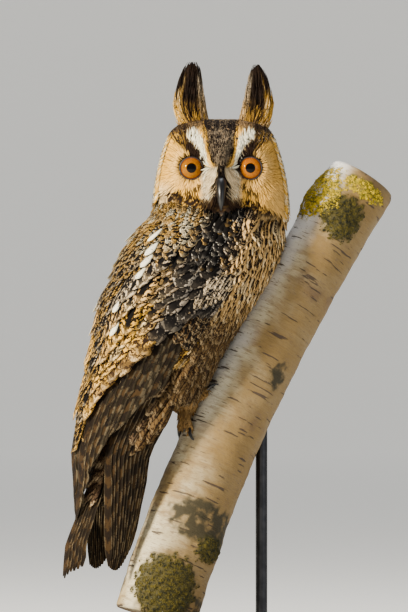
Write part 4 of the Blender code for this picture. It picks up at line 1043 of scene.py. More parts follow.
@dataclass
class Wing:
    """One folded wing: scapulars, coverts, secondaries and the fan of primaries.

    Corners of the fans hold angle in degrees and height in mm at root, middle and tip, for the first and the
    last feather. Spots hold angle and height.
    """

    form: Form
    side: int
    seed: int = 31
    secondaries: FeatherRow = FeatherRow(
        17, (101.0, 158.0), (103.0, 180.0), (272.0, 196.0), ((0.0, -5.6), (22.0, -3.4), (74.0, -0.6)),
        (Tone.BROWN, Tone.SOOT), (0.0, 0.26, 0.6, 0.2), 1.1, 1.25, "long",
    )
    coverts: tuple = (
        FeatherRow(17, (79.0, 161.0), (83.0, 165.0), (286.0, 250.0), COVERT_LIFTS,
                   (Tone.GOLD, Tone.UMBER), (0.14, 0.5, 0.22, 0.5)),
        FeatherRow(16, (88.0, 161.0), (91.0, 165.0), (298.0, 268.0), COVERT_LIFTS,
                   (Tone.GOLD, Tone.UMBER), (0.24, 0.46, 0.0, 0.35)),
        FeatherRow(15, (96.0, 161.0), (99.0, 165.0), (308.0, 280.0), COVERT_LIFTS,
                   (Tone.GOLD, Tone.SOOT), (0.36, 0.46, 0.0, 0.25)),
        FeatherRow(14, (103.0, 161.0), (106.0, 165.0), (318.0, 292.0), COVERT_LIFTS,
                   (Tone.GOLD, Tone.SOOT), (0.36, 0.46, 0.0, 0.3)),
        FeatherRow(13, (110.0, 161.0), (113.0, 165.0), (328.0, 303.0), COVERT_LIFTS,
                   (Tone.BUFF, Tone.SOOT), (0.42, 0.5, 0.0, 0.3)),
        FeatherRow(12, (117.0, 161.0), (120.0, 164.0), (338.0, 314.0), COVERT_LIFTS,
                   (Tone.BUFF, Tone.SOOT), (0.45, 0.52, 0.0, 0.3)),
        FeatherRow(5, (143.0, 161.0), (145.0, 166.0), (320.0, 290.0), ((0.0, -3.0), (30.0, 1.6)),
                   (Tone.GOLD, Tone.SOOT), (0.34, 0.5, 0.0, 0.4)),
        FeatherRow(6, (139.0, 160.0), (141.0, 164.0), (338.0, 309.0), ((0.0, -3.0), (30.0, 1.7)),
                   (Tone.BUFF, Tone.SOOT), (0.4, 0.52, 0.0, 0.3)),
        FeatherRow(7, (134.0, 160.0), (137.0, 163.0), (354.0, 326.0), ((0.0, -3.0), (30.0, 1.6)),
                   (Tone.GREY, Tone.SOOT), (0.42, 0.55, 0.0, 0.3)),
    )
    spots: tuple = (
        (152.5, 329.0), (148.5, 318.5), (147.0, 309.5), (148.0, 300.0), (157.5, 276.0), (155.0, 259.0),
    )
    primaries: tuple = (((75.0, 232.0), (112.0, 226.0)), ((62.0, 158.0), (124.0, 158.0)),
                        ((58.0, 92.0), (99.0, 80.0)))
    hand_coverts: tuple = (((76.0, 268.0), (92.0, 266.0)), ((76.0, 252.0), (92.0, 249.0)),
                           ((77.0, 234.0), (93.0, 229.0)))

    def surface(self, a: Array, b: Array, lift: Array) -> Array:
        """The wing's sheet, by angle in degrees from the breast and height in mm."""
        return self.form.outline_point(self.side * np.radians(a), b * MM, lift)

    def lay_row(self, vanes: Vanes, row: FeatherRow, rng: Rng) -> None:
        """Lays one row, each feather a little over the one in front of it."""
        share = np.linspace(0.0, 1.0, row.count)
        along = share - 0.12 * share * (share - 1.0)
        root = row.roots[0] + (row.roots[1] - row.roots[0]) * along
        tip = row.tips[0] + (row.tips[1] - row.tips[0]) * along
        top = row.levels[0] - row_fall(root)
        end = row.levels[1] - row_fall(tip)
        stations = 14 if row.kind == "long" else 9
        s = shaft(stations)
        loose = 0.3 if row.kind == "long" else 1.0
        reach = s * (1.0 + loose * rng.uniform(-0.13, 0.09, (row.count, 1)))
        sway = loose * rng.uniform(-1.6, 1.6, (row.count, 1)) * s
        sway = sway + loose * rng.uniform(-0.8, 0.8, (row.count, 1))
        angle = root[:, None] + (tip - root)[:, None] * reach + sway
        height = top[:, None] + (end - top)[:, None] * reach
        fallen = row.levels[0] - height - row_fall(angle)
        falls, heights = zip(*row.lifts)
        lift = np.interp(fallen, falls, heights) * MM + rng.uniform(-0.15, 0.15, (row.count, 1)) * MM
        lift = lift - 1.2 * MM * (self.side == -1) * smooth(164.0, 176.0, angle)
        self.lay_feathers(
            vanes, angle, height, lift, row.half, row.kind, row.tones, row.marks, row.lap, rng
        )

    def lay_fan(self, vanes: Vanes, corners: tuple, count: int, lifts: tuple, bow: float, half: float,
                kind: str, tones: tuple, marks: tuple, rng: Rng) -> None:
        """Lays the feathers of the hand, which fan out from the wrist.

        Args:
            vanes: Where the feathers go.
            corners: Angle and height of the first and the last feather at root, middle and tip.
            count: Number of feathers.
            lifts: Heights over the wing's sheet at root, near it and at the tip, in mm.
            bow: How far the tips of the middle ones hang down, in mm.
            half: Half width in spacings.
            kind: Profile of the feathers.
            tones: Tint and dark colour.
            marks: Marks of the dress.
            rng: Source of the random draws.
        """
        share = np.linspace(0.0, 1.0, count)
        first, last = (np.array([pair[k] for pair in corners]) for k in (0, 1))
        knots = first[None] + (last - first)[None] * share[:, None, None]
        knots[:, 2, 1] -= bow * np.sin(math.pi * share)
        s = np.linspace(0.0, 1.0, 16 if kind == "long" else 9)[None, :, None]
        basis = (2 * (s - 0.5) * (s - 1.0), 4 * s * (1.0 - s), 2 * s * (s - 0.5))
        path = sum(weight * knots[:, k, None] for k, weight in enumerate(basis))
        lift = np.interp(s[..., 0], (0.0, 0.3, 1.0), lifts) * MM * np.ones((count, 1))
        self.lay_feathers(vanes, path[..., 0], path[..., 1], lift, half, kind, tones, marks, 1.1, rng)

    def lay_feathers(self, vanes: Vanes, angle: Array, height: Array, lift: Array,
                     half: float, kind: str, tones: tuple, marks: tuple, lap: float,
                     rng: Rng) -> None:
        """Gives a batch its widths, lean and dress, and adds it.

        Args:
            vanes: Where the feathers go.
            angle: Angle from the breast along each shaft, in degrees.
            height: Height along each shaft, in mm.
            lift: Height over the wing's sheet, in metres.
            half: Half width in spacings.
            kind: Profile of the feathers.
            tones: Tint and dark colour.
            marks: Marks of the dress.
            lap: How far each feather leans over the one before it, in mm.
            rng: Source of the random draws.
        """
        count, stations = angle.shape
        centres = self.surface(angle, height, lift)
        gaps = np.linalg.norm(np.gradient(centres, axis=0), axis=-1)
        least = (3.4 if kind == "long" else 2.0) * MM
        gap = np.maximum(gaps.mean(axis=1, keepdims=True) * 0.5 + gaps * 0.5, least)
        halves = half * gap * feather_profile(kind, stations)[None] * rng.uniform(0.95, 1.05, (count, 1))
        dress = Dress.plain(count, *tones, marks)
        if kind == "long":
            # Flight feathers darkened: painted shade.
            dress.tint = dress.tint * LONG_FEATHER_PAINTED_SHADE
        else:
            front = smooth(136.0, 114.0, angle.mean(axis=1)) * smooth(254.0, 268.0, height.mean(axis=1))
            dress.dye(
                (Tone.CREAM.linear, 0.5 * (rng.random(count) < 0.16)),
                (Tone.TAUPE.linear, 0.6 * (rng.random(count) < 0.25)),
                (0.55 * Tone.ASH.linear, 0.85 * front),
            )
            dress.dark = dye(dress.dark, (Tone.SOOT.linear, front))
            dress.marks[:, 0] += 0.55 * front
            dress.marks[:, 3] *= 1.0 - 0.8 * front
        columns = 7 if kind == "long" else 5
        vanes.lay(self.surface, angle, height, lift, halves, dress.vary(rng, 0.18), 0.35 * MM, 0.1, columns,
                  lap=lap * MM)

    def grow(self) -> list[Vanes]:
        """Lays the whole wing in two pieces."""
        rng = np.random.default_rng(self.seed)
        flight, cover = (Vanes(self.form, name + word_of(self.side)) for name in ("flight_", "coverts_"))
        self.lay_fan(flight, self.primaries, 12, (-6.4, -5.6, -3.8), 8.0, 1.1, "long",
                     (Tone.BROWN, Tone.SOOT), (0.0, 0.2, 0.8, 0.2), rng)
        self.lay_row(flight, self.secondaries, rng)
        self.lay_fan(cover, self.hand_coverts, 7, (-3.8, -3.0, -2.0), 2.0, 1.0, "round",
                     (Tone.GOLD, Tone.UMBER), (0.1, 0.7, 0.3, 0.3), rng)
        for row in self.coverts:
            self.lay_row(cover, row, rng)
        self.lay_edge(cover, rng)
        self.lay_spots(cover, rng)
        return [flight, cover]

    def lay_spots(self, vanes: Vanes, rng: Rng) -> None:
        """Lays the white outer webs that show as a line of drops along the shoulder."""
        places = np.array(self.spots)
        count = len(places)
        s = shaft(8)
        size = rng.uniform(8.5, 11.0, (count, 1))
        angle = places[:, :1] - 2.0 + s * rng.uniform(3.0, 5.5, (count, 1))
        height = places[:, 1:] + 6.0 - s * size
        lift = 2.6 * s * MM * np.ones((count, 1))
        halves = 3.3 * MM * feather_profile("round", 8)[None] * rng.uniform(0.8, 1.1, (count, 1))
        dress = Dress.plain(count, Tone.WHITE, Tone.SOOT, (0.0, 0.16, 0.0, 0.0))
        vanes.lay(self.surface, angle, height, lift, halves, dress, 0.3 * MM, 0.2, 5)

    def lay_edge(self, vanes: Vanes, rng: Rng) -> None:
        """Lays the small scaly feathers of the wrist and the wing's front edge."""
        for lane in range(6):
            count = 13 - lane
            share = (np.arange(count) + rng.uniform(-0.25, 0.25, count) + 0.5 * (lane % 2)) / count
            a0 = 73.0 + 3.4 * lane + 7.0 * share
            b0 = 303.0 + 1.2 * lane - 50.0 * share
            s = shaft(7)
            size = 13.0 * rng.uniform(0.85, 1.15, (count, 1))
            angle = a0[:, None] + 4.0 * s * rng.uniform(0.4, 1.4, (count, 1))
            height = b0[:, None] - s * size
            lift = (-2.2 + 0.15 * lane + 2.2 * s) * MM * np.ones((count, 1))
            halves = 3.6 * MM * feather_profile("round", 7)[None] * rng.uniform(0.85, 1.15, (count, 1))
            dress = Dress.plain(count, Tone.BROWN, Tone.SOOT, (0.3, 0.4, 0.0, 0.2))
            dress.dye((Tone.GREY.linear, smooth(282.0, 296.0, b0)))
            dress.vary(rng, 0.25)
            vanes.lay(self.surface, angle, height, lift, halves, dress, 0.25 * MM, 0.3)


@dataclass
class Tail:
    """The tail's twelve feathers in a narrow fan, the middle pair on top, and the coverts over them."""

    form: Form
    half: int = 6
    seed: int = 41
    line: tuple = ((172.0, -84.5), (142.0, -95.5), (122.0, -104.5), (97.0, -115.0), (72.0, -117.5))

    def surface(self, a: Array, b: Array, lift: Array) -> Array:
        """The tail's upper side, by signed place across counted in feathers, and share of the length."""
        line = np.array(self.line)
        height = line[0, 0] + (line[-1, 0] - line[0, 0]) * b
        back = np.interp(-height, -line[:, 0], line[:, 1])
        across = a * (1.5 + 1.9 * b)
        arch = across * across / 80.0
        return self.form.bird_point((back + arch) * MM - lift, across * MM, height * MM)

    def grow(self) -> Vanes:
        """Lays both halves of the fan, then three layers of coverts over it and three under it."""
        rng = np.random.default_rng(self.seed)
        vanes = Vanes(self.form, "tail_feathers")
        s = shaft(14)
        for side in (1, -1):
            for index in range(self.half):
                reach = s * (1.0 - 0.018 * index + rng.uniform(-0.012, 0.012))
                place = side * (index + 0.5) * np.ones_like(s)
                lift = (0.3 - 0.7 * index) * MM * np.ones_like(s)
                halves = (1.5 + 1.9 * reach) * 1.65 * MM * feather_profile("long", 14)[None]
                dress = Dress.plain(1, Tone.BROWN, Tone.SOOT, (0.0, 0.2, 0.65, 0.2))
                # Tail feathers darkened: painted shade.
                dress.tint = LONG_FEATHER_PAINTED_SHADE * dress.tint
                dress.vary(rng, 0.25)
                vanes.lay(self.surface, place, reach, lift, halves, dress, 0.4 * MM, 0.15, 7)
        for start, rise in ((0.16, 1.3), (0.02, 2.2), (-0.14, 3.0)):
            for face in (1, -1):
                count = 7
                place = np.linspace(-5.2, 5.2, count)[:, None] + rng.uniform(-0.3, 0.3, (count, 1))
                reach = start + 0.3 * shaft(8) * rng.uniform(0.85, 1.1, (count, 1))
                depth = rise if face == 1 else -8.5 - rise
                lift = (depth - 0.25 * np.abs(place)) * MM * np.ones((1, 8))
                halves = 4.6 * MM * feather_profile("round", 8)[None] * np.ones((count, 1))
                tone = Tone.TAUPE if face == 1 else Tone.BROWN
                dress = Dress.plain(count, tone, Tone.UMBER, (0.1, 0.42, 0.2, 0.3)).vary(rng, 0.2)
                vanes.lay(self.surface, place * np.ones((1, 8)), reach, lift, halves, dress, 0.3 * MM, 0.3)
        return vanes


def deselect() -> None:
    """Leaves nothing selected or active, so that an operator takes only what it makes."""
    bpy.ops.object.select_all(action="DESELECT")
    bpy.context.view_layer.objects.active = None


def take(piece: Piece, *others: Piece) -> None:
    """Selects pieces alone and makes the first the active one."""
    deselect()
    for part in (piece, *others):
        part.select_set(True)
    bpy.context.view_layer.objects.active = piece


def round_off(piece: Piece, voxel: float, factor: float, times: int) -> None:
    """Gives the active piece one even surface and smooths it.

    Args:
        piece: The piece, selected and active.
        voxel: Size of its new faces.
        factor: Strength of the smoothing.
        times: Number of times it is smoothed.
    """
    remesh = piece.modifiers.new("one surface", "REMESH")
    remesh.mode = "VOXEL"
    remesh.voxel_size = voxel
    bpy.ops.object.modifier_apply(modifier=remesh.name)
    soften = piece.modifiers.new("soften", "SMOOTH")
    soften.factor = factor
    soften.iterations = times
    bpy.ops.object.modifier_apply(modifier=soften.name)
    bpy.ops.object.shade_smooth()


def coordinates(piece: Piece) -> Array:
    """The vertices of a piece as an array."""
    points = np.empty(len(piece.data.vertices) * 3, np.float32)
    piece.data.vertices.foreach_get("co", points)
    return points.reshape(-1, 3).astype(float)


def reshape(piece: Piece, points: Array) -> None:
    """Moves the vertices of a piece."""
    piece.data.vertices.foreach_set("co", points.astype(np.float32).reshape(-1))
    piece.data.update()


def wrap(name: str, segments: int, rings: int, place: Callable) -> Piece:
    """Models a closed piece by shaping a sphere.

    Args:
        name: Name of the piece.
        segments: Faces round it.
        rings: Faces along it.
        place: Takes the turn round it, from 0 to one whole turn, and the share along it, and gives points.

    Returns:
        The piece, smooth shaded and at the origin.
    """
    deselect()
    bpy.ops.mesh.primitive_uv_sphere_add(
        segments=segments, ring_count=rings, radius=1.0, location=(0, 0, 0)
    )
    piece = bpy.context.object
    piece.name = name
    piece.data.name = name
    points = coordinates(piece)
    share = np.arccos(np.clip(points[:, 2], -1.0, 1.0)) / math.pi
    turn = np.arctan2(points[:, 1], points[:, 0]) % TAU
    reshape(piece, place(turn, share))
    bpy.ops.object.mode_set(mode="EDIT")
    bpy.ops.mesh.select_all(action="SELECT")
    bpy.ops.mesh.normals_make_consistent(inside=False)
    bpy.ops.object.mode_set(mode="OBJECT")
    bpy.ops.object.shade_smooth()
    return piece


def smooth_path(points: Sequence, count: int) -> Array:
    """Close points on a smooth curve through a few."""
    points = np.array(points, float)
    at = np.linspace(0.0, len(points) - 1.0, count)
    padded = np.concatenate([[2 * points[0] - points[1]], points, [2 * points[-1] - points[-2]]])
    index = np.minimum(at.astype(int), len(points) - 2)
    t = (at - index)[:, None]
    a, b, c, d = (padded[index + k] for k in range(4))
    return 0.5 * (2 * b + (c - a) * t + (2 * a - 5 * b + 4 * c - d) * t**2 + (3 * b - a - 3 * c + d) * t**3)


def horn(name: str, path: Sequence, halves: Sequence, across: Sequence[float]) -> Piece:
    """Models a curved horn that follows a path, with its own half width and half depth at each point."""
    fine = smooth_path(path, 61)
    sizes = smooth_path(halves, 61)
    along = unit(np.gradient(fine, axis=0))
    side = unit(np.array(across, float) - along * (along @ np.array(across, float))[:, None])
    top = np.cross(side, along)

    def place(turn: Array, share: Array) -> Array:
        """Points of the horn by turn round it and share along it."""
        at = np.clip((share - 0.06) / 0.90, 0.0, 1.0) * 60.0
        ends = np.sqrt(np.clip(np.minimum(share / 0.06, (1.0 - share) / 0.04), 0.0, 1.0))
        low = np.minimum(at.astype(int), 59)
        part = (at - low)[:, None]
        centre, wide, up, dims = (
            store[low] * (1 - part) + store[low + 1] * part for store in (fine, side, top, sizes)
        )
        x = (dims[:, 0] * np.cos(turn) * ends)[:, None]
        y = (dims[:, 1] * np.sin(turn) * ends)[:, None]
        return centre + wide * x + up * y

    return wrap(name, 40, 72, place)


@dataclass
class Skin:
    """One skin under the whole coat: head, torso, rump, legs and feet.

    Rump rows hold height, middle forward, depth and width, in mm. The core is where the torso closes, and the
    rump's down starts behind the rump's front and below the down's top, all in metres.
    """

    form: Form
    coat: BodyCoat
    depth: float = 4.2 * MM
    face_depth: float = 1.4 * MM
    voxel: float = 1.7 * MM
    core: float = -0.066
    rump_front: float = -0.052
    down_top: float = 0.245
    rump: tuple = ((204.0, -64.0, 10.0, 13.0), (180.0, -76.0, 8.0, 13.5), (160.0, -83.0, 6.0, 13.5),
                   (146.0, -87.0, 3.0, 10.5))

    def place(self, turn: Array, share: Array) -> Array:
        """Points of head and torso by turn and share of the way from the crown to the vent."""
        form = self.form
        whole = float(form.down_at(form.vent + 2.0 * MM))
        down = share / 0.97 * whole
        height = form.height_at(down)
        turned = wrapped(turn)
        angle = np.abs(np.degrees(form.breast_angle(turned)))
        wing = smooth(52.0, 66.0, angle) * smooth(180.0, 168.0, angle) * smooth(322 * MM, 308 * MM, height)
        face = smooth(1.35, 1.15, np.abs(turned)) * smooth(343 * MM, 353 * MM, height)
        depth = self.depth + 3.6 * MM * wing
        depth = depth * (1.0 - face) + self.face_depth * face
        upper = form.plumage(turned, down, -depth)
        lower = form.flesh(turned, np.maximum(height, form.vent), depth)
        low = (height < 240.0 * MM)[:, None]
        points = np.where(low, lower, upper)
        closing = np.clip((share - 0.9) / 0.1, 0.0, 1.0)
        middle = form.bird_point(np.full(len(share), self.core), np.zeros(len(share)), points[:, 2])
        points[:, :2] = middle[:, :2] + (points - middle)[:, :2] * np.sqrt(1.0 - closing**2)[:, None]
        return points

    def rump_place(self, turn: Array, share: Array) -> Array:
        """Points of the rump."""
        rows = np.array(self.rump)[::-1]
        height = 204.0 - 58.0 * np.clip((share - 0.1) / 0.8, 0.0, 1.0)
        middle, deep, wide = sections(rows, height)
        ends = np.sqrt(np.clip(np.minimum(share, 1.0 - share) / 0.1, 0.0, 1.0))
        return self.form.bird_point(
            (middle + deep * np.cos(turn) * ends) * MM, wide * np.sin(turn) * ends * MM, height * MM
        )

    def limb(self, node: Piece, inset: float) -> Piece:
        """A merged copy of a leg or foot of the solid model, thinner by the depth of its down."""
        copy = node.copy()
        copy.data = node.data.copy()
        copy.name = "limb"
        bpy.context.scene.collection.objects.link(copy)
        copy.hide_set(False)
        copy.hide_render = False
        world = node.matrix_world.copy()
        copy.parent = None
        copy.matrix_world = world
        take(copy)
        bpy.ops.object.transform_apply(location=True, rotation=True, scale=True)
        bpy.ops.object.mode_set(mode="EDIT")
        bpy.ops.mesh.select_all(action="SELECT")
        bpy.ops.mesh.remove_doubles(threshold=1e-5)
        bpy.ops.mesh.normals_make_consistent(inside=False)
        bpy.ops.transform.shrink_fatten(value=-inset)
        bpy.ops.object.mode_set(mode="OBJECT")
        return copy

    def build(self, nodes: dict) -> Piece:
        """Joins the parts into one closed skin, rounds it and colours it as the coat over it."""
        skin = wrap("skin", 128, 190, self.place)
        parts = [wrap("rump", 32, 40, self.rump_place)]
        for word in ("left", "right"):
            parts.append(self.limb(nodes["leg_" + word], 1.6 * MM))
            parts.append(self.limb(nodes["foot_" + word], 0.5 * MM))
        take(skin, *parts)
        bpy.ops.object.join()
        round_off(skin, self.voxel, 0.5, 2)
        self.paint(skin)
        return skin

    def paint(self, skin: Piece) -> None:
        """Gives the skin the coat's colours by place, and a flat unwrap of its own shape."""
        points = coordinates(skin)
        rng = np.random.default_rng(3)
        spot = self.form.bake_spot(points)
        turn = ((spot[:, 0] - BAKE_EDGE) / BAKE_SPAN - 0.5) * TAU
        dress = self.coat.livery(turn, points[:, 2], rng)
        x = (points[:, 0] - self.form.head_axis[0]) / MM
        z = (points[:, 2] - self.form.eye_height) / MM
        face = FaceCoat(self.form).livery(x, z, rng)
        on_face = (smooth(1.4, 1.2, np.abs(turn)) * smooth(340 * MM, 348 * MM, points[:, 2])
                   * smooth(414 * MM, 408 * MM, points[:, 2]))
        down = smooth(222 * MM, 208 * MM, points[:, 2])
        mesh, opaque = skin.data, np.ones((len(points), 1))
        tint = dye(dress.tint, (face.tint, on_face), (Tone.DOWN.linear, down))
        dark = dye(dress.dark, (face.dark, on_face))
        store_colours(mesh, "tint", np.concatenate([tint, opaque], axis=1))
        store_colours(mesh, "dark", np.concatenate([dark, opaque], axis=1))
        store_colours(mesh, "marks", dye(dress.marks, (face.marks, on_face)))
        corner = np.empty(len(mesh.loops), np.int32)
        mesh.loops.foreach_get("vertex_index", corner)
        uv = spot[corner]
        owner = np.repeat(np.arange(len(mesh.polygons)), [len(face.vertices) for face in mesh.polygons])
        widest = np.zeros(len(mesh.polygons))
        np.maximum.at(widest, owner, uv[:, 0])
        uv[:, 0] = np.where((widest[owner] > 0.75) & (uv[:, 0] < 0.25), 0.995, uv[:, 0])
        store_map(mesh, BAKE_MAP, uv)

    def on_rump(self, spot: Array) -> Array:
        """Where the skin belongs to the rump and not to the legs."""
        return (spot @ self.form.forward < self.rump_front) & (spot[:, 2] < self.down_top)

    def on_leg(self, spot: Array) -> Array:
        """Where the skin belongs to the belly, the legs and the feet."""
        return (spot @ self.form.forward >= self.rump_front) & (spot[:, 2] < self.down_top)


def triangles_of(piece: Piece, sort: bool) -> Array:
    """The triangles of a piece, by the places of their corners.

    Args:
        piece: The piece.
        sort: Whether to sort them by their vertices. The faces of a new sphere come in another order each
            run, and sorted ones make what is drawn from them the same.

    Returns:
        Triangles by corners by 3.
    """
    mesh = piece.data
    mesh.calc_loop_triangles()
    corners = np.empty(len(mesh.loop_triangles) * 3, np.int32)
    mesh.loop_triangles.foreach_get("vertices", corners)
    corners = corners.reshape(-1, 3)
    if sort:
        turned = (corners.argmin(axis=1)[:, None] + np.arange(3)) % 3
        corners = np.take_along_axis(corners, turned, axis=1)
        corners = corners[np.lexsort(corners.T[::-1])]
    return coordinates(piece)[corners]


@dataclass
class Scatter:
    """Small vanes set at random on the faces of a piece."""

    form: Form
    name: str
    piece: Piece
    keep: Callable
    count: int
    length: float
    half: float
    tones: tuple[Tone, Tone]
    marks: tuple = (0.0, 0.0, 0.0, 0.0)
    stand: float = 0.35
    seed: int = 51
    kind: str = "hair"
    sort: bool = False

    def grow(self) -> Vanes:
        """Sets the vanes, lying down the slope of the surface."""
        rng = np.random.default_rng(self.seed)
        triangles = triangles_of(self.piece, self.sort)
        cross = np.cross(triangles[:, 1] - triangles[:, 0], triangles[:, 2] - triangles[:, 0])
        area = np.linalg.norm(cross, axis=1)
        weight = area * self.keep(triangles.mean(axis=1))
        pick = rng.choice(len(area), self.count, p=weight / weight.sum())
        share = rng.random((self.count, 2))
        over = share.sum(axis=1) > 1.0
        share[over] = 1.0 - share[over]
        root = triangles[pick, 0] + sum(
            share[:, k, None] * (triangles[pick, k + 1] - triangles[pick, 0]) for k in (0, 1)
        )
        normal = unit(cross[pick])
        fall = np.tile([0.0, 0.0, -1.0], (self.count, 1)) + rng.normal(0.0, 0.25, (self.count, 3))
        along = unit(fall - normal * np.sum(fall * normal, axis=1, keepdims=True))
        along = unit(along + normal * self.stand)
        side = unit(np.cross(along, normal))
        up = np.cross(side, along)
        stations = 5
        s = np.linspace(0.0, 1.0, stations)[None, :, None]
        size = self.length * rng.uniform(0.7, 1.2, (self.count, 1, 1))
        centres = (root - normal * 0.5 * MM)[:, None] + along[:, None] * s * size
        centres = centres - normal[:, None] * (s**2) * size * self.stand * 0.6
        halves = self.half * feather_profile(self.kind, stations)[None]
        halves = halves * rng.uniform(0.7, 1.25, (self.count, 1))
        vanes = Vanes(self.form, self.name)
        ones = np.ones((1, stations, 1))
        dress = Dress.plain(self.count, *self.tones, self.marks)
        dress.dye((self.tones[1].linear, 0.5 * rng.random(self.count) ** 2))
        sides, normals = side[:, None] * ones, up[:, None] * ones
        vanes.add(centres, sides, normals, halves, 0.15 * MM, 0.3, dress.vary(rng, 0.2))
        return vanes


@dataclass
class Perch:
    """The birch the owl grips, with knots, moss and lichen.

    The axis holds distances forward and up, in mm, of the low end, the bend and the high end. Swells hold
    share of the length, degrees round from the upper side, height in mm, reach along as a share and arc in
    degrees. Growths hold their kind (0 moss, 1 lichen, 2 dark bark), share, degrees, reach and arc.
    """

    form: Form
    axis: tuple = ((-47.4, 41.0), (-5.4, 186.0), (121.0, 373.0))
    side: float = 10.0 * MM
    radius: tuple = (31.8 * MM, 27.0 * MM)
    swells: tuple = (
        (0.93, 14.0, 4.6, 0.045, 44.0), (0.89, 72.0, 4.0, 0.038, 34.0), (0.11, 70.0, 4.5, 0.06, 42.0),
        (0.2, 128.0, 3.0, 0.045, 28.0), (0.55, 112.0, 1.6, 0.03, 16.0), (0.28, 205.0, 2.4, 0.04, 24.0),
        (0.7, 250.0, 2.0, 0.04, 20.0),
    )
    length: float = 0.372
    growths: tuple = (
        (0, 0.9, 76.0, 0.05, 34.0), (0, 0.06, 70.0, 0.065, 46.0), (0, 0.16, 118.0, 0.03, 24.0),
        (1, 0.925, 16.0, 0.06, 44.0), (1, 0.975, 84.0, 0.018, 40.0), (2, 0.2, 128.0, 0.05, 34.0),
        (2, 0.55, 112.0, 0.03, 16.0), (2, 0.03, 110.0, 0.03, 50.0), (2, 0.21, 88.0, 0.045, 46.0),
    )

    def course(self, share: Array) -> tuple[Array, Array]:
        """The middle line by share of the length: its points, and the directions of its upper side."""
        low, bend, high = (np.array(spot) * MM for spot in self.axis)
        t = share[..., None]
        spot = (1 - t) ** 2 * low + 2 * t * (1 - t) * bend + t**2 * high
        slope = unit(2 * (1 - t) * (bend - low) + 2 * t * (high - bend))
        centre = self.form.bird_point(spot[..., 0], np.full(share.shape, self.side), spot[..., 1])
        along = self.form.bird_point(slope[..., 0], np.zeros(share.shape), slope[..., 1])
        upper = np.cross(along, self.form.right)
        return centre, upper * np.sign(upper[..., 2:])

    def point(self, share: Array, turn: Array, lift: Value) -> Array:
        """Points on the bark, by share of the length and turn from the upper side."""
        centre, upper = self.course(share)
        radius = self.radius[0] + (self.radius[1] - self.radius[0]) * share + lift
        for at, degrees, high_mm, reach, arc in self.swells:
            off = (np.degrees(turn) - degrees + 180.0) % 360.0 - 180.0
            radius = radius + high_mm * MM * np.exp(-(((share - at) / reach) ** 2) - (off / arc) ** 2)
        return centre + radius[..., None] * (
            upper * np.cos(turn)[..., None] + self.form.right * np.sin(turn)[..., None]
        )

    def relief(self, share: Array, turn: Array) -> Array:
        """Fine relief of the bark: peeled ridges across and shallow dents."""
        wave = np.sin(share * 61.0 + 2.0 * np.sin(turn * 2.0 + share * 9.0))
        wave = wave * np.sin(turn * 3.0 + share * 23.0)
        fine = np.sin(share * 240.0 + 3.0 * np.sin(turn * 3.0)) * np.sin(turn * 7.0 - share * 31.0)
        return (0.35 * wave + 0.15 * fine - 0.4) * MM

    def place(self, turn: Array, share: Array) -> Array:
        """Shapes the birch out of a sphere, with a flat cut at each end."""
        t = np.clip((share - 0.05) / 0.9, 0.0, 1.0)
        ends = np.clip(np.minimum(share, 1.0 - share) / 0.05, 0.0, 1.0)
        rim = np.clip(np.minimum(t, 1.0 - t) / 0.01, 0.0, 1.0)
        bare = self.relief(t, turn) - 1.4 * MM * (1.0 - rim) ** 2
        mossy = self.cover(self.point(t, turn, bare), (0, 1))
        lumps = 0.5 + 0.5 * np.sin(t * 260.0 + 2.0 * np.sin(turn * 9.0)) * np.sin(turn * 17.0 + t * 90.0)
        surface = self.point(t, turn, bare + mossy * (0.3 + 1.3 * lumps) * MM)
        inward = -0.5 * (self.radius[0] + self.radius[1])
        middle = 0.5 * (self.point(t, turn, inward) + self.point(t, turn + math.pi, inward))
        return middle + (surface - middle) * ends[:, None]

    def build(self) -> Piece:
        """Models the log and stores the straightened place of each point for its finish."""
        log = wrap("birch_log", 160, 220, self.place)
        points = coordinates(log)
        growth = [self.cover(points, (kind,)) for kind in range(3)]
        store_colours(log.data, "growth", np.stack([*growth, np.zeros(len(points))], axis=1))
        layer = log.data.attributes.new("bark", "FLOAT_VECTOR", "POINT")
        layer.data.foreach_set("vector", self.lookup(points).astype(np.float32).reshape(-1))
        return log

    def lookup(self, points: Array) -> Array:
        """Straightens points near the log: round it in x and y, along it in z, in metres."""
        centre, upper = self.course(np.linspace(0.0, 1.0, 400))
        length = np.concatenate([[0.0], np.cumsum(np.linalg.norm(np.diff(centre, axis=0), axis=1))])
        nearest = np.empty(len(points), int)
        for start in range(0, len(points), 4000):
            part = slice(start, start + 4000)
            nearest[part] = np.argmin(((points[part, None] - centre[None]) ** 2).sum(axis=-1), axis=1)
        away = points - centre[nearest]
        return np.stack([
            np.sum(away * upper[nearest], axis=1), away @ self.form.right, length[nearest]
        ], axis=1)

    def patch(self, points: Array, share: float, degrees: float, reach: float, arc: float) -> Array:
        """A soft patch of growth on the bark, from 0 to 1."""
        local = self.lookup(points)
        turn = np.degrees(np.arctan2(local[:, 1], local[:, 0]))
        off = (turn - degrees + 180.0) % 360.0 - 180.0
        near = np.exp(-(((local[:, 2] / self.length - share) / reach) ** 2) - (off / arc) ** 2)
        ragged = np.sin(local[:, 0] * 700.0) * np.sin(local[:, 1] * 620.0) * np.sin(local[:, 2] * 560.0)
        return smooth(0.28, 0.5, near + 0.16 * ragged)

    def cover(self, points: Array, kinds: Sequence[int]) -> Array:
        """How well growths of some kinds cover points, from 0 to 1."""
        found = [self.patch(points, *spot) for kind, *spot in self.growths if kind in kinds]
        return np.maximum.reduce(found)

    def thickness(self, kinds: Sequence[int], points: Array) -> Array:
        """How thickly the cushions of some kinds of growth stand at points."""
        return self.cover(points, kinds) ** 2


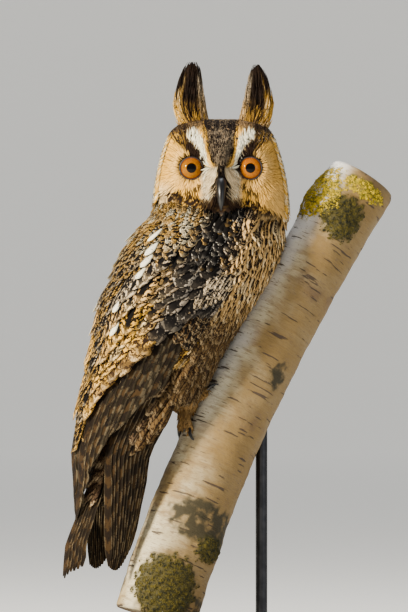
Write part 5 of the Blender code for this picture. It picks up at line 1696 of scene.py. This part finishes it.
class Sock:
    """A shader socket that takes part in maths like a number."""

    def __init__(self, graph: "Graph", socket: bpy.types.NodeSocket) -> None:
        """Wraps an output socket."""
        self.graph = graph
        self.socket = socket

    def __add__(self, other: "Sock | float") -> "Sock":
        """Adds a socket or number to this socket."""
        return self.graph.math("ADD", self, other)

    def __radd__(self, other: float) -> "Sock":
        """Adds this socket to a number."""
        return self.graph.math("ADD", other, self)

    def __sub__(self, other: "Sock | float") -> "Sock":
        """Takes a socket or number from this socket."""
        return self.graph.math("SUBTRACT", self, other)

    def __rsub__(self, other: float) -> "Sock":
        """Takes this socket from a number."""
        return self.graph.math("SUBTRACT", other, self)

    def __mul__(self, other: "Sock | float") -> "Sock":
        """Multiplies this socket by a socket or number."""
        return self.graph.math("MULTIPLY", self, other)

    def __rmul__(self, other: float) -> "Sock":
        """Multiplies a number by this socket."""
        return self.graph.math("MULTIPLY", other, self)


Plug = Sock | float | Sequence[float]


class Graph:
    """The node tree of one material."""

    def __init__(self, name: str) -> None:
        """Starts a material with a Principled shader."""
        self.material = bpy.data.materials.new(name)
        self.material.use_nodes = True
        self.nodes = self.material.node_tree.nodes
        self.links = self.material.node_tree.links
        self.shader = self.nodes["Principled BSDF"]

    def feed(self, socket: bpy.types.NodeSocket, value: Plug) -> None:
        """Links a wrapped socket into an input, or sets the input to a plain value."""
        if isinstance(value, Sock):
            self.links.new(value.socket, socket)
        elif isinstance(value, (int, float)):
            socket.default_value = value
        else:
            plain = [float(part) for part in value]
            size = len(socket.default_value)
            socket.default_value = (plain + [1.0])[:size] if len(plain) < size else plain[:size]

    def node(self, kind: str, settings: dict | None = None, inputs: dict | None = None) -> bpy.types.Node:
        """Adds a node.

        Args:
            kind: Type of the node.
            settings: Values of its own settings.
            inputs: Values or sockets for its inputs, by name or number.

        Returns:
            The node.
        """
        made = self.nodes.new(kind)
        for key, value in (settings or {}).items():
            setattr(made, key, value)
        for key, value in (inputs or {}).items():
            self.feed(made.inputs[key], value)
        return made

    def out(self, kind: str, output: int | str, settings: dict | None = None,
            inputs: dict | None = None) -> Sock:
        """Adds a node and wraps one of its outputs."""
        return Sock(self, self.node(kind, settings, inputs).outputs[output])

    def math(self, operation: str, *values: Sock | float) -> Sock:
        """A maths node."""
        return self.out("ShaderNodeMath", 0, {"operation": operation}, dict(enumerate(values)))

    def vector(self, operation: str, *values: Plug) -> Sock:
        """A vector maths node."""
        return self.out("ShaderNodeVectorMath", 0, {"operation": operation}, dict(enumerate(values)))

    def mix(self, share: Sock, first: Plug, second: Plug) -> Sock:
        """Mixes two colours."""
        return self.out("ShaderNodeMix", 2, {"data_type": "RGBA"}, {0: share, 6: first, 7: second})

    def layers(self, colour: Sock, *coats: tuple[Sock, tuple[int, int, int]]) -> Sock:
        """Lays display colours over a colour, as pairs of a share and a colour."""
        for share, tone in coats:
            colour = self.mix(share, colour, rgb(*tone))
        return colour

    def shade(self, colour: Sock, factor: Sock | float) -> Sock:
        """Multiplies a colour by a number."""
        grey = self.out("ShaderNodeCombineXYZ", 0, None, {0: factor, 1: factor, 2: factor})
        return self.out("ShaderNodeMix", 2, {"data_type": "RGBA", "blend_type": "MULTIPLY"},
                        {0: 1.0, 6: colour, 7: grey})

    def ease(self, low: float, high: float, value: Sock) -> Sock:
        """Eases from 0 to 1 between two values."""
        return self.out("ShaderNodeMapRange", 0, {"interpolation_type": "SMOOTHSTEP"},
                        {"Value": value, "From Min": low, "From Max": high})

    def here(self) -> Sock:
        """Place on the object, in metres."""
        return self.out("ShaderNodeTexCoord", "Object")

    def noise(self, vector: Sock, scale: float, detail: float = 2.0, rough: float = 0.5) -> Sock:
        """Noise from 0 to 1 round 0.5."""
        return self.out("ShaderNodeTexNoise", 0, None,
                        {"Vector": vector, "Scale": scale, "Detail": detail, "Roughness": rough})

    def stretch(self, vector: Sock, factors: Sequence[float]) -> Sock:
        """Scales a vector along its axes."""
        return self.vector("MULTIPLY", vector, factors)

    def spread(self, name: str) -> Sock:
        """A colour attribute."""
        return self.out("ShaderNodeAttribute", "Color", {"attribute_name": name})

    def parts(self, vector: Sock) -> tuple[Sock, Sock, Sock]:
        """The three parts of a vector."""
        split = self.node("ShaderNodeSeparateXYZ", None, {0: vector})
        return tuple(Sock(self, split.outputs[k]) for k in range(3))

    def bump(self, height: Sock, strength: float, distance: float) -> None:
        """Feeds a height into the shader's normal."""
        self.feed(self.shader.inputs["Normal"], self.out("ShaderNodeBump", 0, None, {
            "Height": height, "Strength": strength, "Distance": distance}))

    def finish(self, **values: Plug) -> bpy.types.Material:
        """Feeds the shader's inputs, named with underscores for spaces, and returns the material."""
        for key, value in values.items():
            self.feed(self.shader.inputs[key.replace("_", " ")], value)
        return self.material


@dataclass(frozen=True)
class PlumageFinish:
    """Feathers, dyed by their own colours and marks."""

    name: str = "plumage"
    barbs: float = 46.0
    fine: float = 950.0

    def make(self) -> bpy.types.Material:
        """Builds the material."""
        g = Graph(self.name)
        tint, dark = g.spread("tint"), g.spread("dark")
        marks = g.node("ShaderNodeAttribute", {"attribute_name": "marks"})
        streak, vermic, bars = g.parts(Sock(g, marks.outputs["Color"]))
        pale = Sock(g, marks.outputs["Alpha"])
        u, v, _ = g.parts(g.out("ShaderNodeUVMap", 0, {"uv_map": VANE_MAP}))
        side = g.math("ABSOLUTE", u * 2.0 - 1.0)
        here = g.here()
        wobble = g.noise(here, 520.0, 3.0) - 0.5
        speck = g.noise(here, self.fine, 3.0, 0.6)
        blotch = g.noise(here, 150.0, 2.0)
        width = streak * (1.2 - v * 0.4) + wobble * 0.7 * g.math("MINIMUM", streak * 4.0, 1.0)
        line = g.ease(0.0, 0.12, width - side) * g.ease(0.0, 0.02, streak)
        comb = g.math("SINE", (v * 6.0 + side * 0.8 + wobble * 1.8) * TAU) * 0.5 + 0.5
        breaks = g.ease(0.78, 0.92, comb + (speck - 0.5) * 0.7) * 0.74 * g.ease(0.45, 0.6, streak)
        line = line * (1.0 - breaks)
        field_value = comb * 0.56 + (speck - 0.5) * 1.2 + 0.22
        cover = vermic * (1.0 + (blotch - 0.5) * 1.6)
        vein = g.ease(0.92, 1.08, field_value + cover)
        wave = g.math("SINE", (v * bars * 10.0 + side * 0.3 + wobble * 0.7) * TAU)
        bar = g.ease(-0.5, 0.1, wave + (speck - 0.5)) * g.ease(0.0, 0.05, bars) * 0.8
        mask = g.math("MINIMUM", g.math("MAXIMUM", g.math("MAXIMUM", line, vein), bar), 1.0)
        barred = g.ease(0.45, 0.5, bars)
        tip = pale * g.ease(0.78, 0.95, v + wobble * 0.15) * (1.0 - 0.5 * vein) * (1.0 - barred)
        tip = tip + pale * g.ease(0.7, 0.9, side + wobble * 0.2) * barred
        mask = mask * (1.0 - tip * 0.85)
        colour = g.mix(mask, g.mix(tip * 0.7, tint, Tone.CREAM.linear), dark)
        barb = g.math("SINE", (v + side * 0.45) * self.barbs * TAU)
        # The second factor darkens each vane towards its root, down to 0.72: painted shade where the feathers
        # over it overlap.
        light = (0.98 + barb * 0.07 + (blotch - 0.5) * 0.3) * (0.72 + 0.28 * g.ease(0.2, 0.7, v))
        colour = g.shade(colour, light)
        g.bump(barb * 0.3 + g.ease(0.10, 0.02, side) * 0.6 + speck * 0.5, 0.4, 0.0004)
        return g.finish(Base_Color=colour, Roughness=0.8, Specular_IOR_Level=0.07)


@dataclass(frozen=True)
class SkinFinish:
    """The skin under the coat, with the coat's own markings, seen only between the feathers."""

    name: str = "skin"

    def make(self) -> bpy.types.Material:
        """Builds the material."""
        g = Graph(self.name)
        here = g.here()
        patch = g.ease(0.42, 0.62, g.noise(here, 190.0, 4.0))
        colour = g.mix(patch * 0.6 + 0.2, g.spread("tint"), g.spread("dark"))
        return g.finish(Base_Color=g.shade(colour, 0.75), Roughness=0.9, Specular_IOR_Level=0.1)


@dataclass(frozen=True)
class EyeFinish:
    """An owl's eye under a wet cornea: black pupil, fibrous iris and a dark rim."""

    name: str
    centre: tuple
    iris: tuple
    warm: tuple
    pupil_reach: float = 3.7 * MM
    iris_reach: float = 8.3 * MM

    def make(self) -> bpy.types.Material:
        """Builds the material."""
        g = Graph(self.name)
        away = g.vector("SUBTRACT", g.here(), self.centre)
        x, _, z = g.parts(away)
        far = g.math("SQRT", x * x + z * z)
        turn = g.math("ARCTAN2", z, x)
        spokes = g.noise(g.out("ShaderNodeCombineXYZ", 0, None, {
            0: g.math("COSINE", turn), 1: g.math("SINE", turn), 2: far * 60.0}), 13.0, 3.0)
        colour = g.mix(g.ease(0.35, 0.7, spokes), rgb(*self.iris), rgb(*self.warm))
        colour = g.layers(
            colour,
            # Orange-brown over the iris's upper part: painted shade under the lid and brow.
            (g.ease(0.001, 0.007, z) * 0.5, (128, 60, 0)),
            (g.ease(self.iris_reach - 1.5 * MM, self.iris_reach - 0.3 * MM, far), (96, 46, 10)),
            (g.ease(self.iris_reach - 0.5 * MM, self.iris_reach, far), (16, 12, 10)),
            (g.ease(self.pupil_reach + 0.25 * MM, self.pupil_reach - 0.1 * MM, far), (4, 4, 5)),
        )
        return g.finish(Base_Color=colour, Roughness=0.6, Specular_IOR_Level=0.0, Coat_Weight=0.25,
                        Coat_Roughness=0.015)


@dataclass(frozen=True)
class PlainFinish:
    """A plain finish with a little mottling: horn, lids, steel, moss and lichen."""

    name: str
    first: tuple
    second: tuple
    roughness: float
    scale: float = 300.0
    metallic: float = 0.0
    relief: float = 0.1
    fleck: float = 0.5

    def make(self) -> bpy.types.Material:
        """Builds the material."""
        g = Graph(self.name)
        grain = g.noise(g.here(), self.scale, 4.0)
        share = g.ease(self.fleck - 0.12, self.fleck + 0.15, grain)
        colour = g.mix(share, rgb(*self.first), rgb(*self.second))
        g.bump(grain, self.relief, 0.0005)
        return g.finish(Base_Color=colour, Roughness=self.roughness, Metallic=self.metallic)


@dataclass(frozen=True)
class WoodFinish:
    """The plinth's dark oiled wood."""

    name: str = "plinth_wood"

    def make(self) -> bpy.types.Material:
        """Builds the material."""
        g = Graph(self.name)
        long = g.stretch(g.here(), (6.0, 90.0, 90.0))
        grain = g.noise(long, 2.2, 5.0)
        colour = g.mix(g.ease(0.35, 0.65, grain), rgb(84, 58, 40), rgb(52, 35, 25))
        g.bump(grain, 0.15, 0.0004)
        return g.finish(Base_Color=colour, Roughness=0.45)


@dataclass(frozen=True)
class BarkFinish:
    """White birch bark: pale peeling paper with dark dashes across, grey shade, a painted patch of sunlight
    on its upper side and painted shade, in tan, on the side turned from the light.
    """

    name: str = "birch_bark"

    def make(self) -> bpy.types.Material:
        """Builds the material."""
        g = Graph(self.name)
        bark = g.out("ShaderNodeAttribute", "Vector", {"attribute_name": "bark"})
        x, y, z = g.parts(bark)
        across = g.stretch(bark, (1.0, 1.0, 5.5))
        cloud = g.noise(bark, 26.0, 4.0)
        sheets = g.noise(across, 60.0, 5.0, 0.65)
        # Tan over the log's lower, near side: painted shade on the side turned from the light. The next mask,
        # lit, is a painted patch of sunlight on the upper side.
        shaded_side = g.ease(-0.012, 0.022, y * 0.8 - x * 0.6 + (cloud - 0.5) * 0.05)
        lit = g.ease(0.006, 0.024, x * 0.9 - y * 0.35 + (cloud - 0.5) * 0.03) * g.ease(0.12, 0.2, z)
        stain = g.ease(0.55, 0.68, g.noise(bark, 21.0, 6.0, 0.65))
        dash = g.noise(g.stretch(bark, (1.0, 1.0, 8.0)), 52.0, 2.0, 0.4)
        dash_mask = g.ease(0.64, 0.69, dash + (g.noise(bark, 300.0, 2.0) - 0.5) * 0.08)
        pore = g.ease(0.60, 0.68, g.noise(across, 210.0, 2.0))
        moss, gold, dark = g.parts(g.spread("growth"))
        colour = g.layers(
            g.mix(g.ease(0.38, 0.62, cloud), rgb(198, 188, 158), rgb(150, 128, 86)),
            (g.ease(0.46, 0.66, sheets) * 0.65, (118, 94, 66)),
            (shaded_side * 0.92, (118, 94, 52)),
            (lit * 0.85, (228, 230, 232)),
            (stain * 0.65, (96, 74, 54)),
            (dash_mask * 0.9, (58, 46, 38)),
            (pore * 0.6, (98, 80, 64)),
            (dark * g.ease(0.3, 0.55, g.noise(bark, 120.0, 4.0)), (50, 44, 26)),
            (moss * 0.9, (46, 44, 0)),
            (gold * g.ease(0.36, 0.5, g.noise(bark, 160.0, 4.0)), (84, 78, 0)),
        )
        g.bump(sheets * 0.8 - dash_mask * 0.5 + g.noise(bark, 420.0, 3.0) * 0.3, 0.7, 0.0014)
        return g.finish(Base_Color=colour, Roughness=0.72, Specular_IOR_Level=0.3)


@dataclass
class Head:
    """Eyes, lids and bill."""

    form: Form
    lid_reach: float = 8.65 * MM
    lid_radius: float = 0.62 * MM
    lid_front: float = 6.1 * MM

    def eye(self, side: int) -> Piece:
        """Models an eyeball."""
        word, centre = word_of(side), tuple(self.form.eye_centre(side))
        deselect()
        bpy.ops.mesh.primitive_uv_sphere_add(
            segments=72, ring_count=48, radius=self.form.eye_radius, location=centre
        )
        eye = bpy.context.object
        eye.name = "eyeball_" + word
        bpy.ops.object.transform_apply(location=True, rotation=True, scale=True)
        bpy.ops.object.shade_smooth()
        # The two irises take different tones for how the light falls on each side of the face: painted light
        # and shade over one iris colour.
        tones = ((138, 92, 0), (122, 66, 0)) if side == 1 else ((162, 98, 0), (142, 72, 0))
        eye.data.materials.append(EyeFinish("iris_" + word, centre, *tones).make())
        return eye

    def lid(self, side: int) -> Piece:
        """Models the thin black rim round an eye."""
        deselect()
        bpy.ops.mesh.primitive_torus_add(
            major_segments=72, minor_segments=16, major_radius=self.lid_reach, minor_radius=self.lid_radius,
            location=(0, 0, 0), rotation=(math.pi / 2, 0, 0),
        )
        lid = bpy.context.object
        lid.name = "lid_" + word_of(side)
        bpy.ops.object.transform_apply(location=True, rotation=True, scale=True)
        points = coordinates(lid)
        turn = np.arctan2(points[:, 2], points[:, 0])
        brow = smooth(0.2, 0.9, np.sin(turn))
        points[:, 2] -= 0.5 * MM * brow
        reshape(lid, points + self.form.eye_centre(side) + np.array([0.0, -self.lid_front, 0.0]))
        bpy.ops.object.shade_smooth()
        return lid

    def mandible(self, lower: bool) -> Piece:
        """Models one half of the bill."""
        face = self.form.head_axis[1] - 48.0 * MM
        if lower:
            rows = ((16.0, 362.0), (4.0, 358.5), (-3.0, 354.3), (-6.0, 350.4))
            halves = ((3.4, 2.6), (3.2, 2.4), (2.4, 1.8), (0.9, 0.7))
        else:
            rows = (
                (16.0, 371.0), (3.0, 371.0), (-5.5, 368.0), (-10.0, 361.3), (-11.0, 354.2), (-9.6, 348.4),
            )
            halves = ((4.4, 5.4), (4.4, 5.2), (4.0, 4.8), (3.2, 3.9), (2.1, 2.6), (0.5, 0.6))
        path = [(self.form.head_axis[0], face + y * MM, z * MM) for y, z in rows]
        name = "mandible_lower" if lower else "mandible_upper"
        return horn(name, path, np.array(halves) * MM, (1.0, 0.0, 0.0))


@dataclass
class Claws:
    """The claws, refined from the solid ones."""

    voxel: float = 0.35 * MM

    def build(self, node: Piece, skin: Skin) -> Piece:
        """Rounds a copy of one claw of the solid model."""
        claw = skin.limb(node, 0.0)
        claw.name = node.name.replace("claw", "talon")
        round_off(claw, self.voxel, 0.6, 4)
        return claw


@dataclass
class Studio:
    """Floor, backdrop, lights and camera.

    The backdrop's sizes are in metres: its length and width, its flat part, the curve up into the wall, and
    how far it reaches in front of the model. The camera's lens and sensor are in mm and the image in pixels.
    """

    distance: float = 6.0
    aim: tuple = (-4.6 * MM, 276.6 * MM)
    lens: float = 464.0
    sensor: float = 36.0
    sight: float = 40.0
    image: tuple[int, int] = (408, 612)
    length: float = 26.0
    flat: float = 19.0
    curve: float = 2.0
    front: float = 10.0

    def backdrop(self) -> Piece:
        """Models a pale floor that curves up into a wall."""
        deselect()
        bpy.ops.mesh.primitive_grid_add(x_subdivisions=2, y_subdivisions=120, size=1.0, location=(0, 0, 0))
        floor = bpy.context.object
        floor.name = "backdrop"
        points = coordinates(floor)
        run = (points[:, 1] + 0.5) * self.length
        arc = np.clip((run - self.flat) / self.curve, 0.0, 1.0)
        bend = self.curve / (math.pi / 2)
        back = self.flat - self.front + bend * np.sin(arc * math.pi / 2)
        y = np.where(run < self.flat, run - self.front, back)
        z = bend * (1.0 - np.cos(arc * math.pi / 2)) + np.maximum(run - (self.flat + self.curve), 0.0)
        reshape(floor, np.stack([points[:, 0] * self.length, y, z], axis=1))
        bpy.ops.object.shade_smooth()
        floor.data.materials.append(Graph("studio_floor").finish(
            Base_Color=rgb(236, 235, 231), Roughness=0.9, Emission_Color=(0.9, 0.9, 0.88),
            Emission_Strength=0.3,
        ))
        return floor

    def light(self, name: str, place: tuple, aim: tuple, size: float, power: float, colour: tuple) -> Piece:
        """Adds a soft lamp that points at a place.

        Args:
            name: Name of the lamp.
            place: Where it stands.
            aim: What it points at.
            size: Width of its round face.
            power: Power in watts.
            colour: Linear colour.

        Returns:
            The lamp.
        """
        deselect()
        way = np.array(aim, float) - np.array(place, float)
        yaw = math.atan2(way[1], way[0])
        pitch = math.atan2(math.hypot(way[0], way[1]), -way[2])
        bpy.ops.object.light_add(type="AREA", location=place, rotation=(pitch, 0.0, yaw - math.pi / 2))
        lamp = bpy.context.object
        lamp.name = name
        lamp.data.shape = "DISK"
        lamp.data.size = size
        lamp.data.energy = power
        lamp.data.color = colour
        return lamp

    def build(self) -> None:
        """Sets up the whole studio."""
        self.backdrop()
        middle = (0.0, 0.0, 0.27)
        self.light("key", (-1.9, -1.5, 1.25), middle, 0.5, 215.0, (1.0, 0.9, 0.72))
        self.light("fill", (2.0, -1.6, 0.7), middle, 1.6, 11.0, (0.92, 0.96, 1.0))
        self.light("top", (0.1, 0.5, 2.0), middle, 1.2, 20.0, (0.95, 0.97, 1.0))
        world = bpy.data.worlds.new("studio")
        world.use_nodes = True
        sky = world.node_tree.nodes["Background"]
        sky.inputs["Color"].default_value = (0.92, 0.94, 0.96, 1.0)
        sky.inputs["Strength"].default_value = 0.36
        scene = bpy.context.scene
        scene.world = world
        deselect()
        place = (self.aim[0], -self.distance, self.aim[1])
        bpy.ops.object.camera_add(location=place, rotation=(math.pi / 2, 0, 0))
        camera = bpy.context.object
        camera.data.lens = self.lens
        camera.data.sensor_fit = "VERTICAL"
        camera.data.sensor_height = self.sensor
        camera.data.clip_end = self.sight
        scene.camera = camera
        scene.render.resolution_x, scene.render.resolution_y = self.image


def finish_piece(
    piece: Piece, material: bpy.types.Material | None, nodes: Sequence[str] = ()
) -> None:
    """Gives a piece its material and slot, ties it to the body and hides the nodes it stands for.

    Args:
        piece: The piece.
        material: Its material, or none where it has its own.
        nodes: Nodes of the solid model that it takes the place of.
    """
    if material:
        piece.data.materials.clear()
        piece.data.materials.append(material)
    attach(piece, BODY)
    if nodes:
        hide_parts(*nodes)
    LOG.info("%s: %d faces", piece.name, len(piece.data.polygons))


@dataclass
class Display:
    """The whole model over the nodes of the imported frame."""

    nodes: dict
    form: Form = field(default_factory=Form)

    def __post_init__(self) -> None:
        """Sets up what several parts share."""
        self.coat = BodyCoat(self.form)
        self.skin_maker = Skin(self.form, self.coat)
        self.plumage = PlumageFinish().make()

    def add_skin(self) -> Piece:
        """Adds the skin under the coat."""
        skin = self.skin_maker.build(self.nodes)
        limbs = [part + "_" + word for part in ("leg", "foot") for word in ("left", "right")]
        finish_piece(skin, SkinFinish().make(), ["torso", "neck", "head", *limbs])
        return skin

    def add_feathers(self) -> None:
        """Adds coat, face, ear tufts, wings and tail."""
        for vanes in self.coat.grow():
            finish_piece(vanes.build(), self.plumage)
        for vanes in FaceCoat(self.form).grow():
            finish_piece(vanes.build(), self.plumage)
        for side in (1, -1):
            tuft = EarTuft(self.form, side).grow().build()
            finish_piece(tuft, self.plumage, ["ear_tuft_" + word_of(side)])
            flight, cover = Wing(self.form, side).grow()
            finish_piece(flight.build(), self.plumage, ["wing_" + word_of(side)])
            finish_piece(cover.build(), self.plumage)
        finish_piece(Tail(self.form).grow().build(), self.plumage, ["tail"])

    def add_down(self, skin: Piece) -> None:
        """Adds the down of rump and legs."""
        rump = Scatter(
            self.form, "rump_down", skin, self.skin_maker.on_rump, 1900, 10.0 * MM, 2.2 * MM,
            (Tone.TAUPE, Tone.UMBER), (0.2, 0.4, 0.0, 0.2), kind="round",
        )
        finish_piece(rump.grow().build(), self.plumage)
        legs = Scatter(
            self.form, "leg_down", skin, self.skin_maker.on_leg, 4600, 6.5 * MM, 1.2 * MM,
            (Tone.DOWN, Tone.BROWN), (0.15, 0.2, 0.0, 0.0), seed=52,
        )
        finish_piece(legs.grow().build(), self.plumage)

    def add_horn(self) -> None:
        """Adds eyes, lids, claws and bill."""
        head = Head(self.form)
        lids = PlainFinish("lid_skin", (20, 17, 16), (36, 30, 28), 0.5, 600.0).make()
        dark = PlainFinish("horn", (3, 3, 4), (14, 12, 12), 0.34, 260.0, relief=0.04, fleck=0.62).make()
        for side, word in ((1, "right"), (-1, "left")):
            finish_piece(head.eye(side), None, ["eye_" + word])
            finish_piece(head.lid(side), lids, ["eyelids_" + word])
            for number in range(1, 5):
                name = f"claw_{word}_{number}"
                finish_piece(Claws().build(self.nodes[name], self.skin_maker), dark, [name])
        for lower, word in ((True, "lower"), (False, "upper")):
            finish_piece(head.mandible(lower), dark, ["bill_" + word])

    def add_perch(self) -> None:
        """Adds the birch with its moss and lichen."""
        perch = Perch(self.form)
        log = perch.build()
        finish_piece(log, BarkFinish().make(), ["perch"])
        moss = PlainFinish("moss", (80, 70, 0), (22, 24, 0), 0.95, 420.0).make()
        lichen = PlainFinish("lichen", (200, 170, 0), (136, 122, 8), 0.95, 420.0).make()
        for name, paint, kind, count, length, half in (
            ("moss_cushions", moss, 0, 5300, 4.2, 0.66), ("lichen_crust", lichen, 1, 4600, 3.6, 0.9),
        ):
            tuft = Scatter(
                self.form, name, log, partial(perch.thickness, (kind,)), count, length * MM, half * MM,
                (Tone.GREY, Tone.BROWN), stand=1.8, kind="round", sort=True,
            )
            finish_piece(tuft.grow().build(), paint)

    def finish_stand(self) -> None:
        """Gives the stand of the solid model its finishes."""
        wood = WoodFinish().make()
        steel = PlainFinish("dark_steel", (44, 45, 48), (58, 59, 62), 0.38, 120.0, 1.0, 0.03).make()
        for name, finish in (("stand_base", wood), ("stand_rod_low", steel), ("stand_rod_high", steel)):
            for slot in self.nodes[name].material_slots:
                slot.link = "OBJECT"
                slot.material = finish

    def build(self) -> None:
        """Adds the parts in turn."""
        skin = self.add_skin()
        self.add_feathers()
        self.add_down(skin)
        self.add_horn()
        self.add_perch()
        self.finish_stand()


def main() -> None:
    """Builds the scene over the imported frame."""
    logging.basicConfig(level=logging.INFO, format="%(name)s: %(message)s")
    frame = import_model()
    Display(frame["nodes"]).build()
    Studio().build()


if __name__ == "__main__":
    main()
